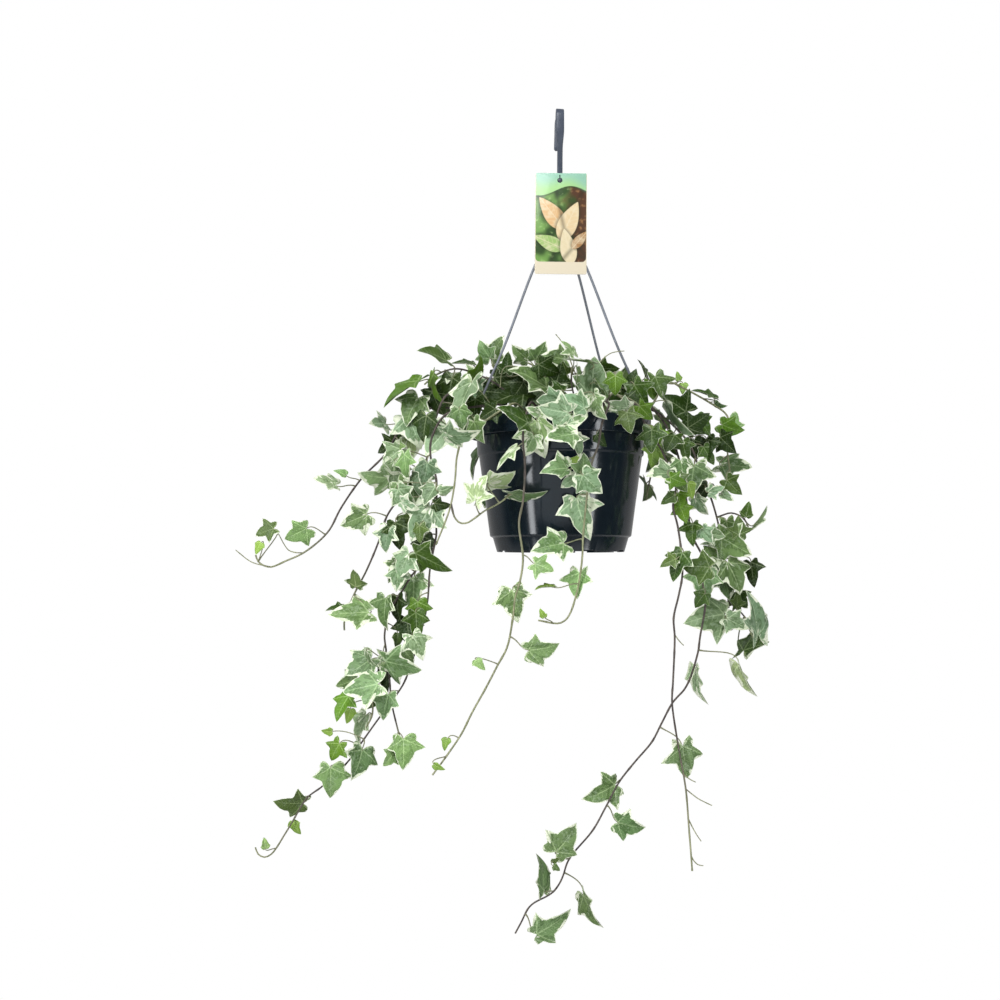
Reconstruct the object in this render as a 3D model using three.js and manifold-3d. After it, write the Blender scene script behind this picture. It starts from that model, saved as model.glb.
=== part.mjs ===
// A variegated English ivy growing in a plastic hanging pot, with its hanger and plant tag.
// Millimetres, +Z up. The origin is the inside of the hook's crown, where the rod bears.
import * as THREE from 'three';
import { mergeVertices } from 'three/addons/utils/BufferGeometryUtils.js';
import Module from 'manifold-3d';

const wasm = await Module();
wasm.setup();

// Pot
const rimRadius = 90.5;
const rimTop = -312;
const skirtBottom = -330;
const wall = 2;
const footRadius = 63.5;
const footBottom = -444;
const floorTop = -439;
const floorBottom = -441;
const potSides = 24;
const clipHoleRadius = 86.5;
const clipHoleSize = [3.2, 5.2];
const drainHoleRadius = 4;
const drainHoleRing = 38;
const footNotchCount = 8;

// Soil
const soilTop = -323;
const soilCrown = -320;
const seatGap = 0.3;
const holeClearance = 0.8;
const rootDepth = 18;

// Hanger
const hookWidth = 8;
const strapWidth = 5.4;
const hookThickness = 4.4;
const strapThickness = 3;
const hubHeight = -104;
const hubRadius = 3.4;
const armRadius = 1.3;
const armAngles = { left: 195, right: -15, back: 45 };
const armLine = [[0, -103], [26.3, -157], [58, -239], [84.2, -299], [86.5, -307]];
const stubEnd = [7.4, -118.2];
const armStart = [7.75, -118.9];

// Plant tag
const tagWidth = 52;
const tagHeight = 104.5;
const tagThickness = 0.7;
const tagTop = -62;
const tagLean = 3.8;
const tagTilt = 0.7;
const tagShift = 1.4;
const pegHeight = -69.5;
const pegRadius = 2.1;
const tagHoleRadius = 2.6;

// Ivy
const stemRadius = [1.7, 1.2];
const stemSides = 3;
const branchRadius = 1.35;
const twigRadius = 0.6;
const petioleRadius = 0.62;
const bladeThickness = 0.7;
const leafClearance = 0.45;
const stemStep = 7;
const stemTolerance = 0.9;

// The routes and leaves below are drawn on a one metre square sheet that stands upright through
// the pot's axis: mm right of its left edge and mm down from its top, as seen from the eye.
const sheetCorner = { x: -560.5, z: 108 };
const eye = { x: -60.5, z: -462, distance: 1460 };

function fromSheet(across, down, depth) {
  const spread = (eye.distance + depth) / eye.distance;
  const x = eye.x + (across + sheetCorner.x - eye.x) * spread;
  const z = eye.z + (sheetCorner.z - down - eye.z) * spread;
  return new THREE.Vector3(x, depth, z);
}

function onRing(angle, radius, z) {
  const turn = THREE.MathUtils.degToRad(angle);
  return new THREE.Vector3(radius * Math.cos(turn), radius * Math.sin(turn), z);
}

// Seeded draws, so that the plant is the same each time
function drawer(seed) {
  let state = seed >>> 0;
  return (low, high) => {
    state = (Math.imul(state, 1664525) + 1013904223) >>> 0;
    return low + ((high - low) * state) / 4294967296;
  };
}

// Solids
function solidOf(geometry) {
  const bare = geometry.clone();
  bare.deleteAttribute('normal');
  bare.deleteAttribute('uv');
  const merged = mergeVertices(bare, 1e-4);
  const mesh = new wasm.Mesh({
    numProp: 3,
    vertProperties: new Float32Array(merged.attributes.position.array),
    triVerts: new Uint32Array(merged.index.array),
  });
  return new wasm.Manifold(mesh);
}

function solidFrom(vertices, faces) {
  const mesh = new wasm.Mesh({
    numProp: 3,
    vertProperties: new Float32Array(vertices.flatMap((v) => [v.x, v.y, v.z])),
    triVerts: new Uint32Array(faces.flat()),
  });
  return new wasm.Manifold(mesh);
}

function geometryOf(solid) {
  const mesh = solid.getMesh();
  const geometry = new THREE.BufferGeometry();
  geometry.setAttribute('position', new THREE.BufferAttribute(new Float32Array(mesh.vertProperties), 3));
  geometry.setIndex(Array.from(mesh.triVerts));
  geometry.computeVertexNormals();
  return geometry;
}

function turned(profile, sides) {
  const points = profile.map(([r, z]) => new THREE.Vector2(r, z));
  const geometry = new THREE.LatheGeometry(points, sides);
  geometry.rotateX(Math.PI / 2);
  return solidOf(geometry);
}

function cylinderAt(centre, radius, height, sides) {
  const geometry = new THREE.CylinderGeometry(radius, radius, height, sides);
  geometry.rotateX(Math.PI / 2);
  geometry.translate(centre.x, centre.y, centre.z);
  return solidOf(geometry);
}

function boxAt(centre, size, turn = 0) {
  const geometry = new THREE.BoxGeometry(size[0], size[1], size[2]);
  geometry.rotateZ(turn);
  geometry.translate(centre.x, centre.y, centre.z);
  return solidOf(geometry);
}

// A closed rod along points. section(k) gives the half width and half thickness at point k.
function rod(points, sides, section, start) {
  const vertices = [];
  const faces = [];
  const last = points.length - 1;
  let across = start.clone();
  for (let k = 0; k <= last; k += 1) {
    const along = points[Math.min(k + 1, last)].clone().sub(points[Math.max(k - 1, 0)]).normalize();
    across = across.sub(along.clone().multiplyScalar(across.dot(along))).normalize();
    const other = along.clone().cross(across);
    const [halfWidth, halfThickness] = section(k / last);
    for (let j = 0; j < sides; j += 1) {
      const turn = (2 * Math.PI * (j + 0.5)) / sides;
      const vertex = points[k].clone();
      vertex.addScaledVector(across, halfWidth * Math.cos(turn));
      vertex.addScaledVector(other, halfThickness * Math.sin(turn));
      vertices.push(vertex);
    }
  }
  for (let k = 0; k < last; k += 1) {
    for (let j = 0; j < sides; j += 1) {
      const a = k * sides + j;
      const b = k * sides + ((j + 1) % sides);
      faces.push([a, b, b + sides], [a, b + sides, a + sides]);
    }
  }
  for (let j = 1; j < sides - 1; j += 1) {
    faces.push([0, j + 1, j], [last * sides, last * sides + j, last * sides + j + 1]);
  }
  return solidFrom(vertices, faces);
}

function stemRod(points, from, to, sides, extra = 0) {
  const start = new THREE.Vector3(0.3, 1, 0.2);
  const radius = (t) => from + (to - from) * t + extra;
  return rod(points, sides, (t) => [radius(t), radius(t)], start);
}

// Pot: a thin taper with a stepped foot and a flanged rim, whose skirt hides the clip holes
function makePot() {
  const profile = [
    [0, floorBottom],
    [60, floorBottom],
    [60, footBottom],
    [footRadius, footBottom],
    [67.5, -430],
    [70.5, -428],
    [81.3, -349],
    [82.9, -347.5],
    [83.8, -331],
    [84.2, rimTop - wall],
    [88.7, rimTop - wall],
    [88.7, skirtBottom],
    [rimRadius, skirtBottom],
    [rimRadius, rimTop - 1],
    [rimRadius - 1, rimTop],
    [82.2, rimTop],
    [81.8, -331],
    [80.9, -347.5],
    [79.3, -349.5],
    [68.5, -428],
    [65.5, -431],
    [61.8, floorTop],
    [0, floorTop],
  ];
  let pot = turned(profile, potSides);
  for (const angle of Object.values(armAngles)) {
    const centre = onRing(angle, clipHoleRadius, rimTop - wall / 2);
    const size = [clipHoleSize[0], clipHoleSize[1], 3 * wall];
    pot = pot.subtract(boxAt(centre, size, THREE.MathUtils.degToRad(angle)));
  }
  for (let k = 0; k < 4; k += 1) {
    const centre = onRing(45 + 90 * k, drainHoleRing, (floorTop + floorBottom) / 2);
    pot = pot.subtract(cylinderAt(centre, drainHoleRadius, 3 * wall, 8));
  }
  for (let k = 0; k < footNotchCount; k += 1) {
    const angle = (360 / footNotchCount) * (k + 0.5);
    const centre = onRing(angle, 62, footBottom);
    pot = pot.subtract(boxAt(centre, [8, 14, 3], THREE.MathUtils.degToRad(angle)));
  }
  return pot;
}

// Soil: fills the pot up to just below the rim, with a plain hole for each stem
function makeSoil(roots) {
  const profile = [
    [0, floorTop + seatGap],
    [61.3, floorTop + seatGap],
    [81.2, soilTop],
    [40, soilCrown],
    [0, soilCrown],
  ];
  let soil = turned(profile, potSides);
  for (const root of roots) {
    const down = root.clone().setZ(soilTop - rootDepth - 0.6);
    const up = root.clone().setZ(soilTop + 12);
    soil = soil.subtract(stemRod([down, up], stemRadius[0], stemRadius[0], 5, holeClearance));
  }
  return soil;
}

// Hanger: a flat strap bent into a hook at the top, a hub, and three thin arms down to the rim
function makeHook() {
  const loop = 8.2;
  const route = [[loop, -36], [loop, -20], [loop, -6]];
  for (let k = 1; k < 6; k += 1) {
    const turn = (Math.PI * k) / 6;
    route.push([loop * Math.cos(turn), -loop + 2.2 + loop * Math.sin(turn)]);
  }
  route.push([-loop, -6], [-loop, -26], [-5, -38], [-1, -50], [0, -60], [0, hubHeight + 3]);
  const points = route.map(([y, z], k) => new THREE.Vector3(k < 3 ? -1.6 + 0.5 * k : 0, y, z));
  const lengths = points.map((point, k) => (k ? point.distanceTo(points[k - 1]) : 0));
  let run = 0;
  const stations = lengths.map((length) => (run += length) / lengths.reduce((a, b) => a + b));
  const section = (t) => {
    const k = Math.round(t * (points.length - 1));
    const beyond = THREE.MathUtils.smoothstep(stations[k], 0.45, 0.58);
    const tip = k === 0 ? 0.6 : 1;
    const width = tip * THREE.MathUtils.lerp(hookWidth, strapWidth, beyond);
    const thickness = tip * THREE.MathUtils.lerp(hookThickness, strapThickness, beyond);
    return [(width / 2) * Math.SQRT2, (thickness / 2) * Math.SQRT2];
  };
  let hook = rod(points, 4, section, new THREE.Vector3(1, 0, 0));
  hook = hook.add(cylinderAt(new THREE.Vector3(0, 0, hubHeight), hubRadius, 9, 12));
  const peg = new THREE.CylinderGeometry(pegRadius, pegRadius, 4.2, 12);
  peg.translate(0, -2, pegHeight);
  hook = hook.add(solidOf(peg));
  for (const angle of Object.values(armAngles)) {
    const start = onRing(angle, 0.5, armLine[0][1]);
    const end = onRing(angle, stubEnd[0], stubEnd[1]);
    hook = hook.add(stemRod([start, end], armRadius, armRadius, 6));
  }
  return hook;
}

function makeArm(angle) {
  const route = [armStart, ...armLine.slice(1), [clipHoleRadius, rimTop - wall - 1]];
  const points = route.map(([r, z]) => onRing(angle, r, z));
  let arm = stemRod(points, armRadius, armRadius - 0.1, 6);
  const turn = THREE.MathUtils.degToRad(angle);
  arm = arm.add(cylinderAt(onRing(angle, clipHoleRadius, rimTop + seatGap + 0.6), 2.6, 1.2, 10));
  const barb = onRing(angle, clipHoleRadius, rimTop - wall - seatGap - 0.8);
  return arm.add(boxAt(barb, [2.2, 6, 1.6], turn));
}

// Plant tag: a printed card that hangs from the peg and leans on the arms
function makeTag() {
  const shape = new THREE.Shape();
  const half = tagWidth / 2;
  const corner = 1.5;
  const bottom = -tagHeight;
  shape.moveTo(-half + corner, bottom);
  shape.lineTo(half - corner, bottom);
  shape.absarc(half - corner, bottom + corner, corner, -Math.PI / 2, 0);
  shape.absarc(half - corner, -corner, corner, 0, Math.PI / 2);
  shape.absarc(-half + corner, -corner, corner, Math.PI / 2, Math.PI);
  shape.absarc(-half + corner, bottom + corner, corner, Math.PI, 1.5 * Math.PI);
  const settings = { depth: tagThickness, bevelEnabled: false, curveSegments: 2 };
  const card = new THREE.ExtrudeGeometry(shape, settings);
  card.rotateX(Math.PI / 2);
  card.translate(0, -2.2, 0);
  const hole = new THREE.CylinderGeometry(tagHoleRadius, tagHoleRadius, 6, 12);
  hole.translate(-tagShift, -2, pegHeight - tagTop);
  const slit = new THREE.BoxGeometry(1.1, 6, 4.4);
  slit.translate(-tagShift, -2, pegHeight - tagTop + 3.4);
  const swing = new THREE.Matrix4().makeRotationX(THREE.MathUtils.degToRad(-tagLean));
  swing.premultiply(new THREE.Matrix4().makeRotationY(THREE.MathUtils.degToRad(tagTilt)));
  swing.premultiply(new THREE.Matrix4().makeTranslation(tagShift, 0, tagTop));
  card.applyMatrix4(swing);
  hole.applyMatrix4(swing);
  slit.applyMatrix4(swing);
  return solidOf(card).subtract(solidOf(hole)).subtract(solidOf(slit));
}

// Ivy leaf: five pointed lobes, or three on a small leaf, on a folded midrib. The outline is for
// a midrib of length 1, from the notch at the stalk, round one half to the tip.
const halfOutline = [[0.3, -0.17], [0.34, 0.1], [0.57, 0.27], [0.25, 0.44], [0, 1]];
const smallHalfOutline = [[0.27, -0.12], [0.52, 0.22], [0.24, 0.42], [0, 1]];
const smallLeaf = 30;
const bladeHeart = [0, 0.4];

function bladeHeight(x, y, bend) {
  return bend.fold * Math.abs(x) - bend.droop * y * y - bend.cup * x * x;
}

// A point of the blade: x across and y along in midrib lengths, lift in mm over its middle
function onBlade(leaf, x, y, lift) {
  const height = bladeHeight(x, y, leaf.bend) * leaf.length + lift;
  const point = leaf.base.clone().addScaledVector(leaf.side, x * leaf.length);
  return point.addScaledVector(leaf.tip, y * leaf.length).addScaledVector(leaf.normal, height);
}

// The blade and its stalk in one closed skin. The stalk is three-sided and ends in the notch.
// With room, in mm, the blade is that much thicker and wider all round, and has no stalk.
function leafSkin(leaf, room = 0) {
  const half = leaf.length < smallLeaf ? smallHalfOutline : halfOutline;
  const around = [...half, ...half.slice(0, -1).reverse().map(([x, y]) => [-x, y])];
  const notch = petioleRadius / leaf.length;
  const lift = bladeThickness / 2 + room;
  const grown = (point) => swollen(point, room / leaf.length);
  const top = [[notch, 0], ...around.map(grown), [-notch, 0]];
  const under = [[0, 0], ...around.map(grown)];
  const vertices = [...top, bladeHeart].map(([x, y]) => onBlade(leaf, x, y, lift));
  vertices.push(...[...under, bladeHeart].map(([x, y]) => onBlade(leaf, x, y, -lift)));
  const heart = top.length;
  const first = heart + 1;
  const faces = [[heart - 1, 0, heart]];
  for (let k = 0; k < under.length; k += 1) {
    const next = first + ((k + 1) % under.length);
    faces.push([k, k + 1, heart], [next, first + k, first + under.length]);
    faces.push([first + k, next, k + 1], [first + k, k + 1, k]);
  }
  let ring = [heart - 1, 0, first];
  for (const station of room ? [] : stalkPoints(leaf).slice(1)) {
    const turn = new THREE.Quaternion().setFromUnitVectors(leaf.tip, station.heading);
    const start = vertices.length;
    for (const corner of [heart - 1, 0, first]) {
      const spoke = vertices[corner].clone().sub(leaf.base).multiplyScalar(station.scale);
      vertices.push(spoke.applyQuaternion(turn).add(station.at));
    }
    for (let j = 0; j < 3; j += 1) {
      const k = (j + 1) % 3;
      faces.push([ring[k], ring[j], start + j], [ring[k], start + j, start + k]);
    }
    ring = [start, start + 1, start + 2];
  }
  faces.push([ring[0], ring[2], ring[1]]);
  return solidFrom(vertices, faces);
}

function swollen([x, y], grow) {
  const reach = Math.hypot(x, y - bladeHeart[1]);
  return [x * (1 + grow / reach), bladeHeart[1] + (y - bladeHeart[1]) * (1 + grow / reach)];
}

// Stalk: from the notch back to the stem, arched where it is long
function stalkPoints(leaf) {
  const reach = leaf.node.distanceTo(leaf.base);
  const leave = leaf.node.clone().addScaledVector(leaf.stalk, 0.42 * reach);
  const arrive = leaf.base.clone().addScaledVector(leaf.tip, -0.36 * reach);
  arrive.addScaledVector(leaf.normal, -0.1 * reach);
  const curve = new THREE.CubicBezierCurve3(leaf.base, arrive, leave, leaf.node);
  const segments = reach < 18 ? 1 : 2;
  const points = curve.getPoints(segments);
  return points.map((at, k) => {
    const next = points[Math.min(k + 1, segments)];
    const last = points[Math.max(k - 1, 0)];
    return { at, heading: last.clone().sub(next).normalize(), scale: k === segments ? 0.6 : 1 };
  });
}

// The stem's centre line, as evenly spaced points
function centreLine(points, step) {
  const curve = new THREE.CatmullRomCurve3(points, false, 'centripetal');
  const count = Math.max(3, Math.round(curve.getLength() / step));
  return curve.getSpacedPoints(count);
}

// The fewest of the line's points that keep within the tolerance of it
function simplified(line) {
  const first = line[0];
  const last = line[line.length - 1];
  const chord = new THREE.Line3(first, last);
  let worst = 0;
  let away = 0;
  line.forEach((point, k) => {
    const gap = chord.closestPointToPoint(point, true, new THREE.Vector3()).distanceTo(point);
    worst = gap > away ? k : worst;
    away = Math.max(gap, away);
  });
  if (away < stemTolerance) {
    return [first, last];
  }
  return [...simplified(line.slice(0, worst + 1)), ...simplified(line.slice(worst)).slice(1)];
}

function nearest(line, point) {
  let best = 0;
  line.forEach((at, k) => {
    best = at.distanceTo(point) < line[best].distanceTo(point) ? k : best;
  });
  return best;
}

// Frame of a listed leaf: the middle of its midrib on the sheet, its length, where its tip
// points (degrees from straight down, + to the right), how it is turned about its midrib and
// how far its tip leans to the viewer.
function listedLeaf(spec, line, draw) {
  const [across, down, length, heading, turn = draw(-24, 24), lean = draw(-6, 26)] = spec;
  const h = THREE.MathUtils.degToRad(heading);
  const p = THREE.MathUtils.degToRad(lean);
  const r = THREE.MathUtils.degToRad(turn);
  const tip = new THREE.Vector3(Math.sin(h) * Math.cos(p), -Math.sin(p), -Math.cos(h) * Math.cos(p));
  const flat = new THREE.Vector3(Math.cos(h), 0, Math.sin(h));
  const facing = tip.clone().cross(flat);
  const side = flat.clone().multiplyScalar(-Math.cos(r)).addScaledVector(facing, -Math.sin(r));
  const normal = facing.clone().multiplyScalar(Math.cos(r)).addScaledVector(flat, -Math.sin(r));
  const near = line[nearest(line, fromSheet(across, down, line[line.length - 1].y))];
  const middle = fromSheet(across, down, near.y + draw(-13, 7));
  const base = middle.clone().addScaledVector(tip, -length / 2);
  const bend = { fold: draw(0.06, 0.3), droop: draw(0.04, 0.22), cup: draw(0, 0.16) };
  return { base, tip, side, normal, length, bend };
}

// Frame of a leaf set by rule: it stands off the stem to one side and faces out and up
function ruledLeaf(at, along, flip, size, draw) {
  const out = at.clone().setZ(0).normalize();
  out.z = draw(0.1, 0.9);
  out.normalize();
  const beside = new THREE.Vector3(-out.y, out.x, 0).multiplyScalar(flip);
  const tip = along.clone().multiplyScalar(0.5).addScaledVector(beside, draw(0.3, 1.1));
  tip.z -= draw(0.2, 0.9);
  tip.addScaledVector(out, -tip.dot(out) + draw(-0.1, 0.5)).normalize();
  const normal = out.clone().addScaledVector(tip, -out.dot(tip)).normalize();
  const side = normal.clone().cross(tip).multiplyScalar(-1);
  const length = size * draw(0.8, 1.15);
  const base = at.clone().addScaledVector(beside, draw(6, 16)).addScaledVector(out, draw(4, 14));
  const bend = { fold: draw(0.06, 0.3), droop: draw(0.04, 0.22), cup: draw(0, 0.16) };
  return { base, tip, side, normal, length, bend };
}

// Stems, each with where it is rooted (angle round the pot, radius), where it clears the rim
// (angle, height), the depth that it hangs at, its route on the sheet, its branches and twigs,
// and its leaves: across, down, length, heading, and where it matters the turn and the lean.
const stems = [
  {
    name: 'ivy_stem_far_left',
    root: [176, 58],
    rim: [178, -300],
    depth: -10,
    route: [[430, 408], [402, 426], [386, 453], [361, 479], [341, 508], [328, 532], [305, 552],
      [286, 561], [270, 567], [259, 562], [256, 555]],
    twigs: [[[270, 567], [252, 562], [235, 549]], [[305, 552], [290, 551], [277, 531]]],
    leaves: [[411, 410, 30, -32], [415, 432, 33, 26], [411, 447, 24, 5], [396, 434, 23, -45, 50],
      [378, 423, 24, -88, 20, 58], [392, 457, 22, -50], [325, 482, 22, -108, 35],
      [340, 472, 13, -120, 30], [296, 534, 24, -62], [268, 532, 18, -75], [259, 548, 12, -30]],
  },
  {
    name: 'ivy_stem_left_outer',
    root: [205, 58],
    rim: [208, -301],
    depth: -40,
    route: [[449, 393], [434, 423], [429, 453], [416, 476], [401, 496], [387, 516], [379, 541],
      [366, 572], [357, 589], [352, 600], [345, 620], [345, 630]],
    leaves: [[463, 403, 41, -27, 16], [474, 410, 22, -8], [375, 477, 31, -92], [404, 492, 22, 30],
      [354, 520, 26, -65], [386, 540, 22, -15], [356, 578, 20, 180, 178, 30],
      [350, 613, 37, -88, 12], [334, 608, 16, -90, 40], [424, 428, 25, -10]],
  },
  {
    name: 'ivy_stem_left_inner',
    root: [222, 60],
    rim: [223, -303],
    depth: -62,
    route: [[446, 414], [431, 440], [431, 460], [436, 478], [436, 520], [436, 538], [429, 557],
      [413, 574], [403, 590], [389, 613], [385, 636], [386, 655], [374, 669], [373, 690],
      [373, 714], [367, 726]],
    branches: [
      [[436, 538], [430, 570], [428, 599], [424, 621], [416, 650], [405, 681], [397, 694],
        [379, 718], [364, 739], [349, 760], [324, 784], [309, 795], [303, 804], [289, 828],
        [272, 852], [263, 853], [258, 844]],
      [[386, 655], [390, 676], [392, 700], [401, 738]],
    ],
    leaves: [[436, 440, 33, -40], [430, 496, 21, -30], [406, 499, 24, 38], [446, 490, 15, 100],
      [443, 505, 16, 80], [421, 523, 36, -28, 10], [438, 519, 14, 10], [420, 534, 16, 0],
      [403, 565, 24, -30], [434, 562, 37, 62, 20], [414, 594, 33, 0, 8], [385, 613, 30, -10],
      [417, 626, 26, 4], [420, 645, 23, 32], [404, 664, 34, 72, 10], [360, 667, 28, -55],
      [373, 658, 18, 30, 60], [362, 686, 32, -80, 12], [386, 706, 24, -14], [343, 706, 24, -30],
      [350, 715, 14, -10], [328, 730, 10, -90], [359, 729, 30, -28, 42], [336, 750, 18, -30],
      [360, 762, 28, -12], [405, 751, 27, 5], [390, 757, 16, -40], [333, 779, 28, 0],
      [290, 802, 28, -90], [298, 825, 14, 20], [267, 840, 10, -170]],
  },
  {
    name: 'ivy_stem_centre_left',
    root: [238, 58],
    rim: [238, -304],
    depth: -82,
    route: [[486, 420], [464, 436], [457, 456], [455, 480], [450, 508], [436, 545]],
    branches: [[[452, 500], [455, 518], [463, 524], [472, 520], [486, 510], [498, 504], [511, 494]]],
    leaves: [[462, 438, 30, 80], [478, 433, 22, 20], [480, 488, 24, 162], [502, 478, 28, 105, 40],
      [528, 496, 33, 82, 72]],
  },
  {
    name: 'ivy_stem_centre',
    root: [253, 60],
    rim: [250, -304],
    depth: -103,
    route: [[524, 424], [523, 440], [525, 466], [523, 501], [519, 523], [523, 559], [520, 581],
      [515, 598], [513, 616], [507, 647], [498, 664], [486, 687], [472, 712], [462, 732],
      [445, 757], [433, 773]],
    leaves: [[514, 415, 31, -120], [541, 438, 34, 12, 12], [529, 445, 20, -25], [533, 412, 14, -95],
      [505, 457, 26, -50, 55], [516, 605, 29, 12], [543, 648, 27, 97], [544, 567, 18, 70],
      [480, 663, 12, 40], [446, 743, 11, -20], [440, 764, 11, 60]],
  },
  {
    name: 'ivy_shoot_front',
    root: [272, 50],
    rim: [270, -301],
    depth: -104,
    route: [[564, 412], [567, 424], [570, 436]],
    leaves: [[572, 404, 25, -117, 10], [553, 412, 27, -97], [576, 421, 20, 110],
      [559, 439, 27, -78], [599, 407, 24, 20, 32], [548, 400, 20, -80], [577, 445, 20, 15]],
  },
  {
    name: 'ivy_stem_centre_right',
    root: [298, 60],
    rim: [297, -303],
    depth: -96,
    route: [[602, 424], [598, 447], [593, 459], [590, 473], [586, 505], [583, 537], [582, 559],
      [576, 595], [567, 618], [559, 623], [538, 620]],
    leaves: [[573, 461, 14, -100], [583, 465, 20, 170], [554, 469, 24, -90], [569, 482, 17, -60],
      [591, 485, 24, 45], [581, 518, 38, 11, 8], [549, 546, 30, -80], [577, 585, 24, -14, 35],
      [544, 587, 16, -90, 66], [542, 613, 9, -150], [601, 440, 14, 30]],
  },
  {
    name: 'ivy_stem_right_long',
    root: [317, 58],
    rim: [318, -302],
    depth: -60,
    route: [[648, 430], [661, 448], [667, 462], [676, 486], [673, 507], [677, 523], [681, 551],
      [682, 575], [678, 596], [673, 618], [674, 636], [672, 682], [671, 701], [677, 745],
      [684, 786], [687, 825], [689, 852], [690, 867]],
    twigs: [[[682, 774], [688, 777], [694, 780]], [[684, 786], [696, 796], [710, 803]],
      [[687, 819], [693, 829], [699, 838]], [[689, 850], [694, 860], [701, 862]],
      [[674, 633], [678, 640], [683, 645]]],
    leaves: [[659, 474, 24, -92], [652, 441, 22, 0], [653, 456, 20, -10], [677, 482, 16, 60],
      [668, 499, 15, -60], [680, 501, 16, 10], [676, 566, 28, -25], [667, 562, 16, -70]],
  },
  {
    name: 'ivy_stem_right_trailing',
    root: [331, 60],
    rim: [332, -300],
    depth: -36,
    route: [[668, 428], [682, 470], [688, 512], [692, 536], [702, 557], [702, 582], [705, 600],
      [699, 638], [697, 652], [685, 686], [672, 701], [660, 723], [651, 740], [633, 761],
      [618, 780], [605, 804], [592, 827], [568, 856], [561, 875], [552, 888], [530, 901],
      [521, 917], [515, 928]],
    leaves: [[674, 423, 40, 25, 16], [692, 534, 22, -5], [695, 566, 26, -95], [705, 586, 30, -10],
      [697, 686, 34, 5, 66], [744, 680, 34, 20, 68], [683, 760, 31, 8], [600, 791, 34, -62],
      [629, 823, 25, 75], [566, 834, 31, 137], [555, 855, 8, 120], [556, 863, 8, 60],
      [544, 872, 33, 178, 48], [589, 907, 34, 20, 34], [553, 920, 37, 116]],
  },
  {
    name: 'ivy_stem_right_main',
    root: [355, 58],
    rim: [357, -302],
    depth: -6,
    route: [[684, 436], [693, 450], [702, 478], [711, 498], [719, 529], [719, 540], [724, 565],
      [727, 590], [728, 608]],
    branches: [[[720, 519], [732, 513], [745, 520], [749, 531]], [[727, 604], [740, 612], [748, 622]]],
    leaves: [[699, 421, 24, 120], [704, 430, 18, 60], [674, 405, 26, -125], [673, 448, 18, 10, 50],
      [692, 480, 32, -12], [706, 469, 16, 80], [708, 449, 22, 0], [700, 507, 20, 30, 40],
      [715, 490, 16, 110], [727, 497, 14, 60], [734, 546, 32, 58], [746, 510, 15, 168],
      [761, 517, 23, 137, 72], [737, 526, 18, 178], [715, 535, 16, 85], [709, 545, 16, -110, 66],
      [718, 566, 22, 10, 48], [726, 585, 26, 20], [736, 599, 16, 170], [735, 577, 32, 28],
      [753, 574, 24, 5], [705, 616, 38, -84, 10], [750, 612, 42, -176, 40],
      [760, 636, 34, 152, 48], [732, 623, 22, 60]],
  },
  {
    name: 'ivy_stem_right_arching',
    root: [14, 56],
    rim: [14, -296],
    depth: 20,
    route: [[668, 382], [685, 388], [700, 396], [715, 405], [727, 414], [731, 430], [728, 450],
      [731, 476]],
    leaves: [[685, 387, 12, 0], [703, 394, 23, -115, 50], [721, 405, 13, 60, 55], [737, 418, 18, 165],
      [730, 431, 23, 65], [726, 446, 22, 40], [738, 465, 30, 84], [734, 487, 20, 40],
      [678, 376, 9, -170]],
  },
  {
    name: 'ivy_shoot_left_high',
    root: [196, 32],
    depth: -8,
    route: [[520, 408], [500, 386], [478, 374], [456, 368], [436, 374], [424, 384]],
    leaves: [[433, 353, 30, -112, 48], [401, 393, 43, -57, 30], [463, 362, 22, -100, 62],
      [435, 389, 30, 3, 66], [479, 370, 22, 148, 50], [444, 376, 18, -85, 45],
      [450, 390, 26, -10], [474, 388, 24, 30]],
  },
  {
    name: 'ivy_shoot_left_back',
    root: [150, 30],
    depth: 24,
    route: [[514, 404], [502, 382], [492, 364]],
    leaves: [[496, 346, 25, 155, -20], [484, 349, 20, -142], [507, 376, 26, 100], [470, 380, 26, -70],
      [500, 395, 30, 20]],
  },
  {
    name: 'ivy_shoot_middle',
    root: [262, 12],
    depth: -16,
    route: [[556, 408], [548, 386], [538, 368], [528, 362]],
    leaves: [[520, 352, 20, -127], [541, 350, 20, 145], [529, 377, 40, -120, 26],
      [505, 397, 42, -72, 14], [553, 396, 21, -80], [536, 402, 26, -30], [548, 372, 22, 60]],
  },
  {
    name: 'ivy_shoot_middle_right',
    root: [302, 26],
    depth: -44,
    route: [[576, 408], [582, 394], [589, 386]],
    branches: [[[576, 408], [572, 384], [572, 366]]],
    twigs: [[[589, 386], [600, 362], [612, 352], [625, 350]]],
    leaves: [[593, 377, 38, 171, 10], [569, 346, 17, -150, 36], [578, 362, 28, -104, 48],
      [576, 378, 18, 0], [603, 392, 22, 40]],
  },
  {
    name: 'ivy_shoot_right_front',
    root: [325, 38],
    depth: -58,
    route: [[606, 402], [615, 391], [621, 391]],
    leaves: [[616, 408, 22, -95], [626, 425, 20, 8], [614, 388, 18, 2], [617, 371, 18, 60, 46],
      [646, 413, 18, 45], [638, 401, 22, 70]],
  },
  {
    name: 'ivy_shoot_right',
    root: [350, 34],
    depth: -10,
    route: [[602, 404], [622, 386], [640, 382], [656, 380]],
    leaves: [[632, 380, 20, 178], [658, 388, 22, 20], [656, 366, 24, -133, 40],
      [643, 367, 18, -162, 68], [640, 396, 24, 30], [612, 396, 22, -60]],
  },
  {
    name: 'ivy_shoot_back_left',
    root: [128, 42],
    depth: 58,
    route: [[520, 408], [500, 392], [478, 388], [462, 400]],
    ruled: { count: 4, size: 29 },
  },
  {
    name: 'ivy_shoot_back',
    root: [92, 40],
    depth: 66,
    route: [[552, 404], [548, 386], [544, 380], [538, 392]],
    ruled: { count: 4, size: 29 },
  },
  {
    name: 'ivy_shoot_back_right',
    root: [62, 42],
    depth: 62,
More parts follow.
